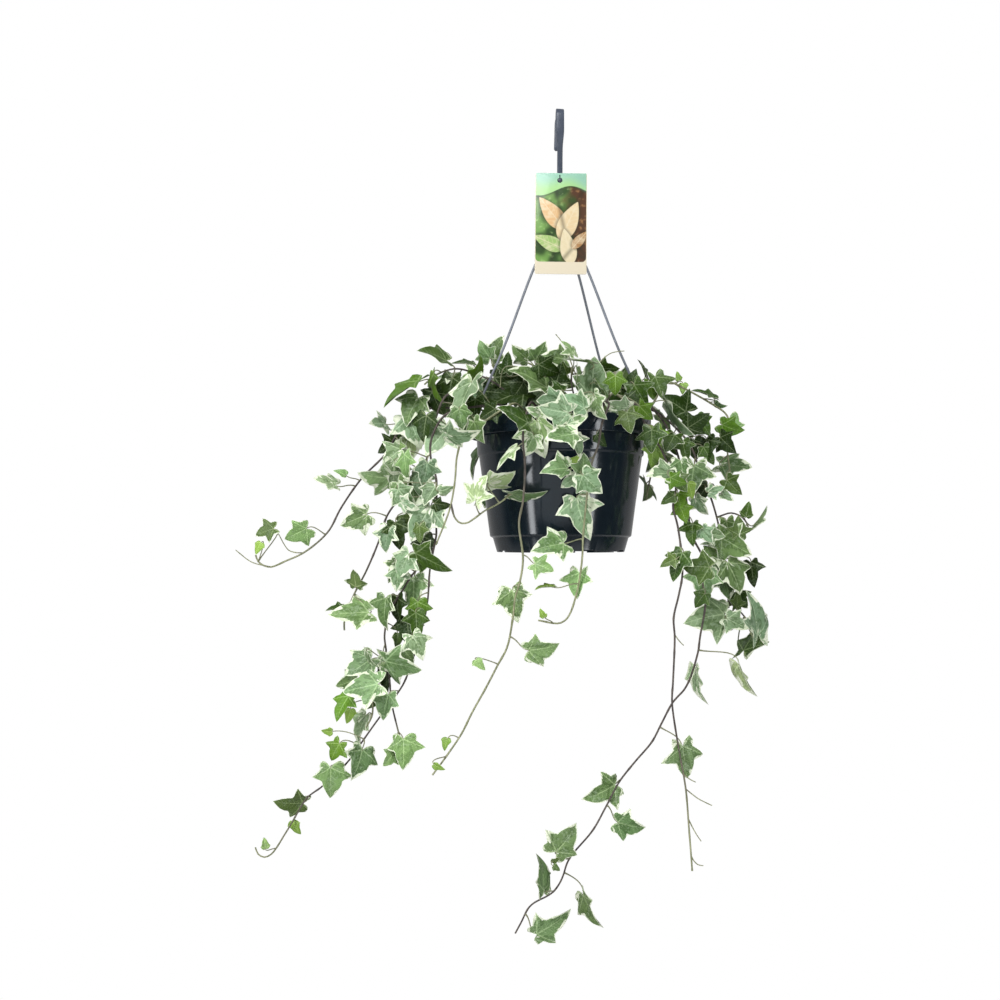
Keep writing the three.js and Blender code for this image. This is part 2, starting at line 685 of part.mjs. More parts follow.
    route: [[582, 402], [600, 386], [618, 384], [632, 398]],
    ruled: { count: 4, size: 29 },
  },
  {
    name: 'ivy_stem_back_left',
    root: [140, 60],
    rim: [140, -302],
    depth: 66,
    route: [[496, 434], [498, 470], [504, 505], [510, 530]],
    ruled: { count: 5, size: 30 },
  },
  {
    name: 'ivy_stem_back_middle',
    root: [108, 62],
    rim: [108, -302],
    depth: 100,
    route: [[532, 430], [534, 462], [530, 500], [538, 534]],
    ruled: { count: 5, size: 30 },
  },
  {
    name: 'ivy_stem_back_right',
    root: [76, 62],
    rim: [76, -302],
    depth: 98,
    route: [[582, 430], [586, 466], [590, 496], [584, 524]],
    ruled: { count: 4, size: 30 },
  },
  {
    name: 'ivy_stem_back_side',
    root: [32, 60],
    rim: [30, -301],
    depth: 54,
    route: [[650, 430], [656, 452], [650, 480], [646, 500]],
    ruled: { count: 4, size: 30 },
  },
];

// How a leaf may be shifted in depth, in mm, and turned about its midrib until it clears its
// neighbours, in the order that the shifts are tried
const shifts = [[0, 0], [-5, 0], [5, 0], [-10, 12], [10, -12], [-15, 0], [15, 0], [-20, 20], [20, -20],
  [-26, 0], [27, 0], [-33, 25]];

function shifted(leaf, [depth, turn]) {
  const moved = { ...leaf, base: leaf.base.clone(), side: leaf.side.clone(), normal: leaf.normal.clone() };
  moved.base.y += depth;
  moved.side.applyAxisAngle(leaf.tip, THREE.MathUtils.degToRad(turn));
  moved.normal.applyAxisAngle(leaf.tip, THREE.MathUtils.degToRad(turn));
  return moved;
}

function boxOf(solid) {
  const { min, max } = solid.boundingBox();
  return new THREE.Box3(new THREE.Vector3(...min), new THREE.Vector3(...max));
}

const placed = [];

function keep(owner, solid) {
  placed.push({ owner, solid, box: boxOf(solid) });
}

function meets(solid, wanted) {
  const box = boxOf(solid);
  return placed.some((other) => wanted(other.owner) && other.box.intersectsBox(box)
    && !other.solid.intersect(solid).isEmpty());
}

function stemLines(stem) {
  const points = [onRing(...stem.root, soilCrown + 2)];
  if (stem.rim) {
    points.push(onRing(stem.rim[0], 82, stem.rim[1]));
    points.push(onRing(stem.rim[0], 94, stem.rim[1] - 1));
  }
  points.push(...stem.route.map(([across, down]) => fromSheet(across, down, stem.depth)));
  const lines = [[onRing(...stem.root, soilTop - rootDepth), ...centreLine(points, stemStep)]];
  for (const branch of stem.branches ?? []) {
    const route = branch.map(([across, down]) => fromSheet(across, down, stem.depth));
    const main = lines[0];
    route[0] = main[nearest(main, route[0])];
    lines.push(centreLine(route, stemStep));
  }
  return lines;
}

function stemSolid(stem, lines, extra) {
  const [thick, thin] = stemRadius;
  let solid = stemRod(simplified(lines[0]), thick, thin, stemSides, extra);
  for (const line of lines.slice(1)) {
    solid = solid.add(stemRod(simplified(line), branchRadius, thin, stemSides, extra));
  }
  for (const twig of stem.twigs ?? []) {
    const route = twig.map(([across, down]) => fromSheet(across, down, stem.depth));
    const main = lines[0];
    route[0] = main[nearest(main, route[0])];
    solid = solid.add(stemRod(simplified(centreLine(route, stemStep)), twigRadius, twigRadius * 0.8, 3, extra));
  }
  return solid;
}

function leavesOf(stem, lines, draw) {
  const leaves = [];
  for (const spec of stem.leaves ?? []) {
    const middle = fromSheet(spec[0], spec[1], stem.depth);
    const gaps = lines.map((line) => line[nearest(line, middle)].distanceTo(middle));
    const line = lines[gaps.indexOf(Math.min(...gaps))];
    leaves.push({ ...listedLeaf(spec, line, draw), line });
  }
  const { count = 0, size = 0 } = stem.ruled ?? {};
  for (let k = 0; k < count; k += 1) {
    const line = lines[0];
    const place = Math.round((line.length - 1) * (0.3 + (0.7 * (k + 0.5)) / count));
    const along = line[place].clone().sub(line[place - 1]).normalize();
    leaves.push({ ...ruledLeaf(line[place], along, k % 2 ? 1 : -1, size, draw), line });
  }
  return leaves;
}

// Where a leaf's stalk leaves the stem: a little up the stem from the blade's notch
function joined(leaf) {
  const { line } = leaf;
  const close = nearest(line, leaf.base);
  let place = Math.min(Math.max(close - 1, 2), line.length - 1);
  while (place > 2 && line[place].distanceTo(leaf.base) < 5) {
    place -= 1;
  }
  const node = line[place];
  const along = line[place].clone().sub(line[place - 1]).normalize();
  const stalk = leaf.base.clone().sub(node);
  stalk.addScaledVector(along, -0.7 * stalk.dot(along)).normalize();
  return { ...leaf, node, stalk };
}

// Whether a stalk runs through its own blade on its way from the stem
function crossesItself(leaf, stalk) {
  const away = stalk[1].clone().sub(stalk[0]).normalize();
  if (away.dot(leaf.tip) > 0.2) {
    return true;
  }
  const clear = [stalk[0].clone().addScaledVector(away, 1.6), ...stalk.slice(1)];
  const bare = stemRod(clear, petioleRadius, petioleRadius, 3);
  return !bare.intersect(leafSkin({ ...leaf }, 0.01)).isEmpty();
}

function growIvy() {
  const grown = stems.map((stem) => ({ stem, lines: stemLines(stem) }));
  for (const { stem, lines } of grown) {
    keep(stem.name, stemSolid(stem, lines, 0));
  }
  const bodies = new Map(grown.map(({ stem, lines }) => [stem.name, stemSolid(stem, lines, 0)]));
  grown.forEach(({ stem, lines }, order) => {
    const draw = drawer(1000 + 77 * order);
    for (const leaf of leavesOf(stem, lines, draw)) {
      let chosen = null;
      for (const shift of shifts) {
        const tried = joined(shifted(leaf, shift));
        const room = leafSkin(tried, leafClearance);
        const stalk = stalkPoints(tried).map((station) => station.at);
        const stalkRoom = stemRod(stalk, petioleRadius, petioleRadius, 4, leafClearance);
        const others = (owner) => owner !== stem.name;
        if (crossesItself(tried, stalk) || meets(room, others) || meets(stalkRoom, others)) {
          continue;
        }
        chosen = chosen ?? tried;
        if (!meets(room, (owner) => owner === stem.name)) {
          chosen = tried;
          break;
        }
      }
      if (!chosen) {
        continue;
      }
      const solid = leafSkin(chosen);
      keep(stem.name, solid);
      bodies.set(stem.name, bodies.get(stem.name).add(solid));
    }
  });
  return bodies;
}

// The whole
const group = new THREE.Group();

function addPiece(name, solid, color, roughness) {
  const material = new THREE.MeshStandardMaterial({ color, roughness, metalness: 0 });
  const mesh = new THREE.Mesh(geometryOf(solid), material);
  mesh.name = name;
  group.add(mesh);
}

const roots = stems.map((stem) => onRing(...stem.root, 0));
const plain = new Map([
  ['pot', [makePot(), 0x262d38, 0.38]],
  ['soil', [makeSoil(roots), 0x2a2019, 0.95]],
  ['hanger_hook', [makeHook(), 0x3a404a, 0.45]],
  ['plant_tag', [makeTag(), 0xb9c98f, 0.4]],
]);
for (const [side, angle] of Object.entries(armAngles)) {
  plain.set(`hanger_arm_${side}`, [makeArm(angle), 0x565b66, 0.45]);
}
for (const [name, [solid, color, roughness]] of plain) {
  addPiece(name, solid, color, roughness);
  keep(name, solid);
}
for (const [name, solid] of growIvy()) {
  addPiece(name, solid, 0x5f8f5a, 0.5);
}

export default group;
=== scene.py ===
import bisect
import math
import bmesh
import bpy
from mathutils import Matrix, Vector, noise
from mathutils.kdtree import KDTree


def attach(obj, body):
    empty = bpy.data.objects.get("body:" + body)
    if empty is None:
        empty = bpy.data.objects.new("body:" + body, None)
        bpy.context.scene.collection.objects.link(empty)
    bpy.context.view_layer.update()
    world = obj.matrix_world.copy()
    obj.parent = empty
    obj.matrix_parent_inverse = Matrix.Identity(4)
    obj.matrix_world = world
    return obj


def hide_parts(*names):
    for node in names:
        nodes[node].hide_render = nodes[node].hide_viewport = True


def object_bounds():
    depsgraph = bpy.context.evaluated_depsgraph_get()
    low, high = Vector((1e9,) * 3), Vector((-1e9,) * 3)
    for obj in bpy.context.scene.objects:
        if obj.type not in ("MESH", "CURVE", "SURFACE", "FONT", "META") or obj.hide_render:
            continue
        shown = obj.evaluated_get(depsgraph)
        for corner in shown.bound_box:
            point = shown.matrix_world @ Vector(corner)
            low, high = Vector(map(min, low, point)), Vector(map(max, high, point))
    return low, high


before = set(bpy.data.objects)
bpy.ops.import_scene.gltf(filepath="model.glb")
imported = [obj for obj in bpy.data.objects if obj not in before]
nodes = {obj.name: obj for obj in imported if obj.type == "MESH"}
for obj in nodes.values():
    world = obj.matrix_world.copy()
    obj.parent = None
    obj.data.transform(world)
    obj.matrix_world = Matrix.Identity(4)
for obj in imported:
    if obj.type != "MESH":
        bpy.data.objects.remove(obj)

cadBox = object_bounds()
mm = 0.001
print("frame loaded:", len(nodes), "nodes")


# Shader wiring
class Wire:
    def __init__(self, finish, socket):
        self.finish = finish
        self.socket = socket

    def maths(self, operation, *others):
        return self.finish.maths(operation, self, *others)

    def __add__(self, other):
        return self.maths("ADD", other)

    __radd__ = __add__

    def __sub__(self, other):
        return self.maths("SUBTRACT", other)

    def __rsub__(self, other):
        return self.finish.maths("SUBTRACT", other, self)

    def __mul__(self, other):
        return self.maths("MULTIPLY", other)

    __rmul__ = __mul__

    def __truediv__(self, other):
        return self.maths("DIVIDE", other)

    def __rtruediv__(self, other):
        return self.finish.maths("DIVIDE", other, self)

    def __pow__(self, other):
        return self.maths("POWER", other)

    def __abs__(self):
        return self.maths("ABSOLUTE")


class Finish:
    def __init__(self, name):
        self.material = bpy.data.materials.new(name)
        self.material.use_nodes = True
        self.tree = self.material.node_tree
        self.tree.nodes.clear()

    # Any node: its type, its settings, then the values or links of its sockets
    def node(self, kind, settings=None, sockets=None):
        made = self.tree.nodes.new(kind)
        for key, value in (settings or {}).items():
            setattr(made, key, value)
        for key, value in (sockets or {}).items():
            if isinstance(value, Wire):
                self.tree.links.new(value.socket, made.inputs[key])
            else:
                made.inputs[key].default_value = value
        return lambda key=0: Wire(self, made.outputs[key])

    def maths(self, operation, *values):
        return self.node("ShaderNodeMath", {"operation": operation}, dict(enumerate(values)))(0)

    def surface(self, sockets):
        shader = self.node("ShaderNodeBsdfPrincipled", sockets=sockets)
        self.node("ShaderNodeOutputMaterial", sockets={"Surface": shader("BSDF")})
        return self.material

    def place(self):
        return self.node("ShaderNodeTexCoord")("Object")

    def attribute(self, name):
        return self.node("ShaderNodeAttribute", {"attribute_name": name})

    def split(self, vector):
        parts = self.node("ShaderNodeSeparateXYZ", sockets={0: vector})
        return parts(0), parts(1), parts(2)

    def vector(self, x, y, z):
        return self.node("ShaderNodeCombineXYZ", sockets={0: x, 1: y, 2: z})(0)

    def scaled(self, vector, factors):
        settings = {"operation": "MULTIPLY"}
        return self.node("ShaderNodeVectorMath", settings, {0: vector, 1: factors})(0)

    # Noise with so many patches in a unit of the vector, which is a metre for place()
    def speckle(self, vector, scale, detail=2.0, roughness=0.55):
        sockets = {"Vector": vector, "Scale": scale, "Detail": detail, "Roughness": roughness}
        return self.node("ShaderNodeTexNoise", sockets=sockets)(0)

    def cells(self, vector, scale, feature="F1"):
        settings = {"feature": feature}
        return self.node("ShaderNodeTexVoronoi", settings, {"Vector": vector, "Scale": scale})(0)

    # 0 below low, 1 above high, eased between
    def ease(self, value, low, high):
        settings = {"interpolation_type": "SMOOTHSTEP"}
        sockets = {"Value": value, "From Min": low, "From Max": high}
        return self.node("ShaderNodeMapRange", settings, sockets)(0)

    def mix(self, factor, one, other, blend="MIX"):
        settings = {"data_type": "RGBA", "blend_type": blend}
        colours = [c if isinstance(c, Wire) else (*c, 1) for c in (one, other)]
        return self.node("ShaderNodeMix", settings, {0: factor, 6: colours[0], 7: colours[1]})(2)

    def relief(self, height, distance, strength=1.0):
        sockets = {"Height": height, "Distance": distance, "Strength": strength}
        return self.node("ShaderNodeBump", sockets=sockets)(0)


# A finished bmesh as an object that stands for its node; smooth is the angle past which edges stay sharp
def finished(mesh, name, node, materials, smooth=40):
    toMetres(mesh)
    data = bpy.data.meshes.new(name)
    mesh.to_mesh(data)
    mesh.free()
    for material in materials:
        data.materials.append(material)
    data.shade_smooth()
    if smooth:
        data.set_sharp_from_angle(angle=math.radians(smooth))
    piece = bpy.data.objects.new(name, data)
    bpy.context.scene.collection.objects.link(piece)
    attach(piece, "root")
    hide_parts(node)
    return piece


def toMetres(mesh):
    bmesh.ops.scale(mesh, vec=(mm, mm, mm), verts=mesh.verts[:])


def onRing(angle, radius, z):
    turn = math.radians(angle)
    return Vector((radius * math.cos(turn), radius * math.sin(turn), z))


# A place on a ring, turned so that its X points outwards
def ringPlace(angle, radius, z):
    return Matrix.Translation(onRing(angle, radius, z)) @ Matrix.Rotation(math.radians(angle), 4, "Z")


def addBox(mesh, place, size):
    return bmesh.ops.create_cube(mesh, size=1, matrix=place @ Matrix.Diagonal((*size, 1)))["verts"]


def addDisc(mesh, place, radii, depth, segments):
    return bmesh.ops.create_cone(mesh, cap_ends=True, segments=segments, radius1=radii[0],
                                 radius2=radii[1], depth=depth, matrix=place)["verts"]


def rounded(mesh, edges, offset, segments=3):
    bmesh.ops.bevel(mesh, geom=edges, offset=offset, segments=segments, profile=0.5, affect="EDGES",
                    clamp_overlap=True, material=-1)


# Rounds the sharp edges of the shape that has these vertices
def roundRims(mesh, verts, offset):
    edges = {edge for vert in verts for edge in vert.link_edges}
    rounded(mesh, [edge for edge in edges if edge.calc_face_angle(0) > 1], offset)


# A round or flat rod along a path: a ring that is extruded from station to station
def sweep(mesh, path, sizes, sides, across=(0.3, 1, 0.2), layer=None, values=None, material=0):
    across = Vector(across)
    ring = bmesh.ops.create_circle(mesh, segments=sides, radius=1, cap_ends=True,
                                   matrix=Matrix.Rotation(math.pi / sides, 4, "Z"))["verts"]
    edges = list({edge for vert in ring for edge in vert.link_edges})
    made = list(ring)
    previous = Matrix.Identity(4)
    last = len(path) - 1
    for k, centre in enumerate(path):
        along = (path[min(k + 1, last)] - path[max(k - 1, 0)]).normalized()
        across = (across - along * across.dot(along)).normalized()
        width, depth = sizes(k / last)
        station = Matrix((across * width, along.cross(across) * depth, along * 1.0))
        station = station.transposed().to_4x4()
        station.translation = centre
        if k:
            grown = bmesh.ops.extrude_edge_only(mesh, edges=edges)["geom"]
            ring = [g for g in grown if isinstance(g, bmesh.types.BMVert)]
            ends = set(ring)
            edges = [g for g in grown if isinstance(g, bmesh.types.BMEdge) and ends.issuperset(g.verts)]
            made += ring
        bmesh.ops.transform(mesh, matrix=station @ previous.inverted(), verts=ring)
        previous = station
        if layer is not None:
            for vert in ring:
                vert[layer] = values(k / last)
    bmesh.ops.edgeloop_fill(mesh, edges=edges)
    faces = list({face for vert in made for face in vert.link_faces})
    bmesh.ops.recalc_face_normals(mesh, faces=faces)
    for face in faces:
        face.material_index = material


# A radius that goes evenly from thick to thin, for sweep()
def tapered(thick, thin):
    return lambda t: (thick + (thin - thick) * t,) * 2


# A profile of (radius, height) points turned round the axis
def turned(profile, segments):
    mesh = bmesh.new()
    verts = [mesh.verts.new((r, 0, z)) for r, z in profile]
    edges = [mesh.edges.new(pair) for pair in zip(verts, verts[1:])]
    bmesh.ops.spin(mesh, geom=verts + edges, cent=(0, 0, 0), axis=(0, 0, 1), dvec=(0, 0, 0),
                   angle=math.tau, steps=segments, use_merge=True, use_duplicate=False)
    bmesh.ops.remove_doubles(mesh, verts=mesh.verts[:], dist=1e-4)
    bmesh.ops.recalc_face_normals(mesh, faces=mesh.faces[:])
    return mesh


# Pot
potLook = {
    "rimRadius": 90.5, "rimTop": -312, "skirtBottom": -330, "footBottom": -444, "floorTop": -439,
    "floorBottom": -441, "floorRing": 36, "segments": 144, "footNotches": 8, "notchRing": 62,
    "notchSize": (9, 14, 3), "drainHoles": 4, "drainRadius": 4, "drainRing": 38, "drainDepth": 8,
    "clipHole": (3.2, 5.2, 6), "plastic": (0.0056, 0.0108, 0.0155), "dust": (0.014, 0.020, 0.025),
    "sheen": 0.10,
    "outside": [(67.3, -431), (67.7, -429.9), (70.2, -428.4), (70.6, -427.4), (76, -387.6), (81.2, -350),
                (81.6, -348.9), (82.8, -347.8), (83.1, -346.6), (83.8, -331), (84.2, -314.6),
                (84.8, -314), (88.1, -314), (88.7, -314.6)],
    "inside": [(82.1, -314), (81.8, -331), (80.9, -347.5), (79.3, -349.5), (68.5, -428), (65.5, -431),
               (62.4, -438.4)],
}


def potPlastic():
    look = Finish("potPlastic")
    place = look.place()
    cloudy = look.speckle(place, 22, 3)
    grain = look.speckle(place, 1500, 2)
    dusty = look.ease(cloudy * 0.5 + look.speckle(place, 160, 4) * 0.5, 0.52, 0.7)
    colour = look.mix(dusty * 0.22, potLook["plastic"], potLook["dust"])
    scuffs = look.ease(look.speckle(look.scaled(place, (90, 90, 900)), 1, 3), 0.62, 0.8)
    rough = potLook["sheen"] + cloudy * 0.05 + dusty * 0.05 + scuffs * 0.05
    return look.surface({
        "Base Color": colour, "Roughness": rough, "IOR": 1.48,
        "Normal": look.relief(grain * 0.6 + scuffs * 0.4, 0.00005, 0.35),
    })


# The angles of so many places round the pot
def around(count):
    return [360 / count * (k + 0.5) for k in range(count)]


def makePot():
    p = potLook
    floor, foot, skirt = p["floorBottom"], p["footBottom"], p["skirtBottom"]
    rim, top, bed = p["rimRadius"], p["rimTop"], p["floorTop"]
    profile = [
        (0, floor), (p["floorRing"], floor), (59.5, floor), (60, floor - 0.5),
        (60, foot + 0.5), (60.4, foot), (63.1, foot), (63.6, foot + 0.5), *p["outside"],
        (88.7, skirt + 0.4), (89.1, skirt), (90.1, skirt), (rim, skirt + 0.5), (rim, top - 1.4),
        (90.1, top - 0.5), (89.2, top), (83, top), (82.3, top - 0.5), *p["inside"],
        (61.6, bed), (p["floorRing"], bed), (0, bed),
    ]
    mesh = turned(profile, p["segments"])
    pot = finished(mesh, "hanging_pot", "pot", [potPlastic()], 34)
    cutter = bmesh.new()
    for angle in around(p["drainHoles"]):
        hole = Matrix.Translation(onRing(angle, p["drainRing"], bed - 1))
        addDisc(cutter, hole, (p["drainRadius"], p["drainRadius"]), p["drainDepth"], 24)
    for angle in around(p["footNotches"]):
        addBox(cutter, ringPlace(angle, p["notchRing"], foot), p["notchSize"])
    for angle in hangerLook["armAngles"].values():
        addBox(cutter, ringPlace(angle, hangerLook["clipRadius"], top - 1), p["clipHole"])
    punchOut(pot, cutter)
    print("pot done")


# Cuts the cutter's shapes out of a piece
def punchOut(piece, cutter):
    toMetres(cutter)
    punch = bpy.data.meshes.new("punch")
    cutter.to_mesh(punch)
    cutter.free()
    tool = bpy.data.objects.new("punch", punch)
    bpy.context.scene.collection.objects.link(tool)
    cut = piece.modifiers.new("holes", "BOOLEAN")
    cut.operation = "DIFFERENCE"
    cut.solver = "EXACT"
    cut.use_self = True
    cut.object = tool
    bpy.context.view_layer.update()
    graph = bpy.context.evaluated_depsgraph_get()
    fresh = bpy.data.meshes.new_from_object(piece.evaluated_get(graph))
    piece.modifiers.clear()
    piece.data = fresh
    bpy.data.objects.remove(tool)


# Soil
soilLook = {
    "top": -323, "crown": -320, "bottom": -438.7, "bottomRadius": 61.3, "topRadius": 81.2,
    "rings": 26, "segments": 110, "edge": 0.4, "lumps": 1.6, "lumpScale": 0.11,
    "damp": (0.009, 0.0055, 0.0035), "crumb": (0.042, 0.026, 0.015), "dry": (0.06, 0.041, 0.026),
    "fibre": (0.12, 0.085, 0.05),
}


def soilCrumb():
    s = soilLook
    look = Finish("soilCrumb")
    place = look.place()
    crumb = look.cells(place, 420)
    fine = look.speckle(place, 900, 4, 0.7)
    patch = look.speckle(place, 60, 3)
    colour = look.mix(look.ease(fine, 0.35, 0.7), s["damp"], s["crumb"])
    colour = look.mix(look.ease(patch, 0.5, 0.75) * 0.5, colour, s["dry"])
    fibre = look.ease(look.speckle(look.scaled(place, (300, 900, 300)), 1, 2), 0.66, 0.7)
    colour = look.mix(fibre * 0.5, colour, s["fibre"])
    return look.surface({
        "Base Color": colour, "Roughness": 0.9 + fine * 0.08,
        "Normal": look.relief(crumb * -0.7 + fine, 0.0016, 0.9),
    })


def makeSoil():
    s = soilLook
    profile = [(0, s["bottom"]), (s["bottomRadius"], s["bottom"]), (s["topRadius"], s["top"] - s["edge"])]
    for k in range(s["rings"] + 1):
        share = 1 - k / s["rings"]
        height = s["top"] + (s["crown"] - s["top"]) * min(1, 2 - 2 * share)
        profile.append(((s["topRadius"] - s["edge"]) * share, height))
    mesh = turned(profile, s["segments"])
    for vert in mesh.verts:
        radius = math.hypot(vert.co.x, vert.co.y)
        if vert.co.z > s["top"] - 0.3 and radius < s["topRadius"] - 2:
            spot = vert.co * s["lumpScale"]
            vert.co.z += (noise.noise(spot) + 0.6 * noise.noise(spot * 3.1)) * s["lumps"]
    finished(mesh, "potting_soil", "soil", [soilCrumb()], 0)
    print("soil done")


# Hanger: lines are (radius, height) for the arms and (depth, height) for the hook
hangerLook = {
    "armAngles": {"left": 195, "right": -15, "back": 45}, "clipRadius": 86.5,
    "armLine": [(26.3, -157), (58, -239), (84.2, -299), (86.5, -307)],
    "armStart": (7.75, -118.9), "armEnd": -314.6, "armRadius": (1.3, 1.2),
    "collarHeight": -311.1, "collarRadii": (2.6, 2.4), "collarDepth": 1.2,
    "barbHeight": -315.1, "barbSize": (2.2, 6, 1.6),
    "stubLine": [(0.5, -103), (4.2, -111.5), (7.4, -118.2)], "stubRadius": (1.75, 1.35),
    "loop": 8.2, "bendHeight": -6, "mouth": [(8.2, -36), (8.2, -20)], "mouthShift": [-1.6, -1.1, -0.6],
    "shank": [(-8.2, -26), (-5, -38), (-1, -50), (0, -60), (0, -101)], "narrowing": (0.45, 0.13),
    "hookWidth": 8, "strapWidth": 5.4, "hookThickness": 4.4, "strapThickness": 3, "hookRims": 0.75,
    "hubHeight": -104, "hubRadius": 3.4, "hubDepth": 9, "pegHeight": -69.5, "pegRadius": 2.1,
    "pegDepth": 4.2, "plastic": (0.043, 0.051, 0.070), "armPlastic": (0.130, 0.140, 0.160),
}


def hangerPlastic(name, tint):
    look = Finish(name)
    place = look.place()
    cloudy = look.speckle(look.scaled(place, (60, 60, 14)), 1, 3)
    grain = look.speckle(place, 1300, 2)
    colour = look.mix(look.ease(cloudy, 0.4, 0.75) * 0.4, tint, tuple(c * 1.9 for c in tint))
    return look.surface({
        "Base Color": colour, "Roughness": 0.26 + cloudy * 0.12, "IOR": 1.48,
        "Normal": look.relief(grain, 0.00004, 0.4),
    })


# The flat strap's half sizes: it narrows below the bend, and its mouth is slightly pinched
def strap(t):
    h = hangerLook
    start, run = h["narrowing"]
    beyond = min(1, max(0, (t - start) / run))
    beyond = beyond * beyond * (3 - 2 * beyond)
    width = h["hookWidth"] + (h["strapWidth"] - h["hookWidth"]) * beyond
    depth = h["hookThickness"] + (h["strapThickness"] - h["hookThickness"]) * beyond
    close = min(1, 0.72 + t * 30) * math.sqrt(2)
    return width / 2 * close, depth / 2 * close


def makeHook(plastic):
    h = hangerLook
    loop, bend = h["loop"], h["bendHeight"]
    route = [*h["mouth"], (loop, bend)]
    for k in range(1, 12):
        turn = math.pi * k / 12
        route.append((loop * math.cos(turn), bend + loop * math.sin(turn)))
    route += [(-loop, bend), *h["shank"]]
    aside = h["mouthShift"] + [0] * len(route)
    path = [Vector((x, y, z)) for x, (y, z) in zip(aside, route)]
    mesh = bmesh.new()
    sweep(mesh, Spline(path).evenly(90), strap, 4, (1, 0, 0))
    rims = [e for e in mesh.edges if len(e.link_faces) == 2 and e.calc_face_angle(0) > 0.9]
    rounded(mesh, rims, h["hookRims"])
    hub = Matrix.Translation((0, 0, h["hubHeight"]))
    roundRims(mesh, addDisc(mesh, hub, (h["hubRadius"], h["hubRadius"]), h["hubDepth"], 40), 0.6)
    peg = Matrix.Translation((0, -2, h["pegHeight"])) @ Matrix.Rotation(math.pi / 2, 4, "X")
    roundRims(mesh, addDisc(mesh, peg, (h["pegRadius"], h["pegRadius"]), h["pegDepth"], 28), 0.4)
    for angle in h["armAngles"].values():
        stub = Spline([onRing(angle, *spot) for spot in h["stubLine"]]).evenly(10)
        sweep(mesh, stub, tapered(*h["stubRadius"]), 14)
    finished(mesh, "moulded_hook", "hanger_hook", [plastic])


def makeArm(side, angle, plastic):
    h = hangerLook
    route = [h["armStart"], *h["armLine"], (h["clipRadius"], h["armEnd"])]
    path = Spline([onRing(angle, *spot) for spot in route]).evenly(60)
    mesh = bmesh.new()
    sweep(mesh, path, tapered(*h["armRadius"]), 16)
    collar = Matrix.Translation(onRing(angle, h["clipRadius"], h["collarHeight"]))
    roundRims(mesh, addDisc(mesh, collar, h["collarRadii"], h["collarDepth"], 28), 0.25)
    barb = ringPlace(angle, h["clipRadius"], h["barbHeight"])
    roundRims(mesh, addBox(mesh, barb, h["barbSize"]), 0.3)
    finished(mesh, "moulded_arm_" + side, "hanger_arm_" + side, [plastic])


# Plant tag: each printed leaf is (across, up, length, half width, turn, colour)
tagLook = {
    "width": 52, "height": 104.5, "thickness": 0.7, "top": -62, "lean": 3.8, "tilt": 0.7, "shift": 1.4,
    "setForward": 2.2, "holeRadius": 2.6, "slit": (1.1, 6, 4.4), "slitLift": 3.4, "corner": 1.6,
    "rims": 0.14, "bandTop": 13, "pictureCorner": 4.5, "waveHeight": 86,
    "cream": (0.62, 0.54, 0.40), "waveGreen": (0.30, 0.51, 0.20), "waveBlue": (0.23, 0.42, 0.34),
    "darkGreen": (0.028, 0.062, 0.014), "midGreen": (0.14, 0.27, 0.06), "bark": (0.075, 0.032, 0.015),
    "rust": (0.42, 0.21, 0.08), "sprig": (0.42, 0.58, 0.22), "printCream": (0.66, 0.57, 0.39),
    "leafShadow": (0.016, 0.018, 0.008), "waveShadow": (0.02, 0.04, 0.01),
    "blank": (0.80, 0.77, 0.68), "blankGrain": (0.72, 0.68, 0.58),
    "leaves": ((-9, 63, 21, 9, -38, (0.58, 0.36, 0.17)), (8, 55, 22, 9.5, 24, (0.62, 0.47, 0.27)),
               (-12, 33, 17, 7.5, -66, (0.27, 0.40, 0.12)), (7, 29, 19, 8, -12, (0.61, 0.51, 0.32)),
               (19, 36, 12, 5, 40, (0.34, 0.18, 0.07))),
}


def tagSwing():
    t = tagLook
    swing = Matrix.Translation((t["shift"], 0, t["top"]))
    swing = swing @ Matrix.Rotation(math.radians(t["tilt"]), 4, "Y")
    return swing @ Matrix.Rotation(math.radians(-t["lean"]), 4, "X")


# A printed pointed leaf: its mask, its veins and its soft shadow
def leafPrint(look, across, up, leaf):
    centreX, centreY, size, width, turn, _ = leaf
    cos, sin = math.cos(math.radians(turn)), math.sin(math.radians(turn))
    px = (across - centreX) * cos + (up - centreY) * -sin
    py = ((up - centreY) * cos + (across - centreX) * sin) / size
    room = (1 - py * py).maths("MAXIMUM", 0.0)
    edge = room ** 0.75 * (1 - py * 0.38) * width - abs(px)
    rib = 1 - look.ease(abs(px), 0.2, 0.8)
    feather = (abs(px) * 0.16 - py * size * 0.2).maths("PINGPONG", 0.5)
    vein = rib.maths("MAXIMUM", (1 - look.ease(feather, 0.03, 0.14)) * 0.6)
    return look.ease(edge, -0.1, 0.6), vein, look.ease(edge, -4, 1)


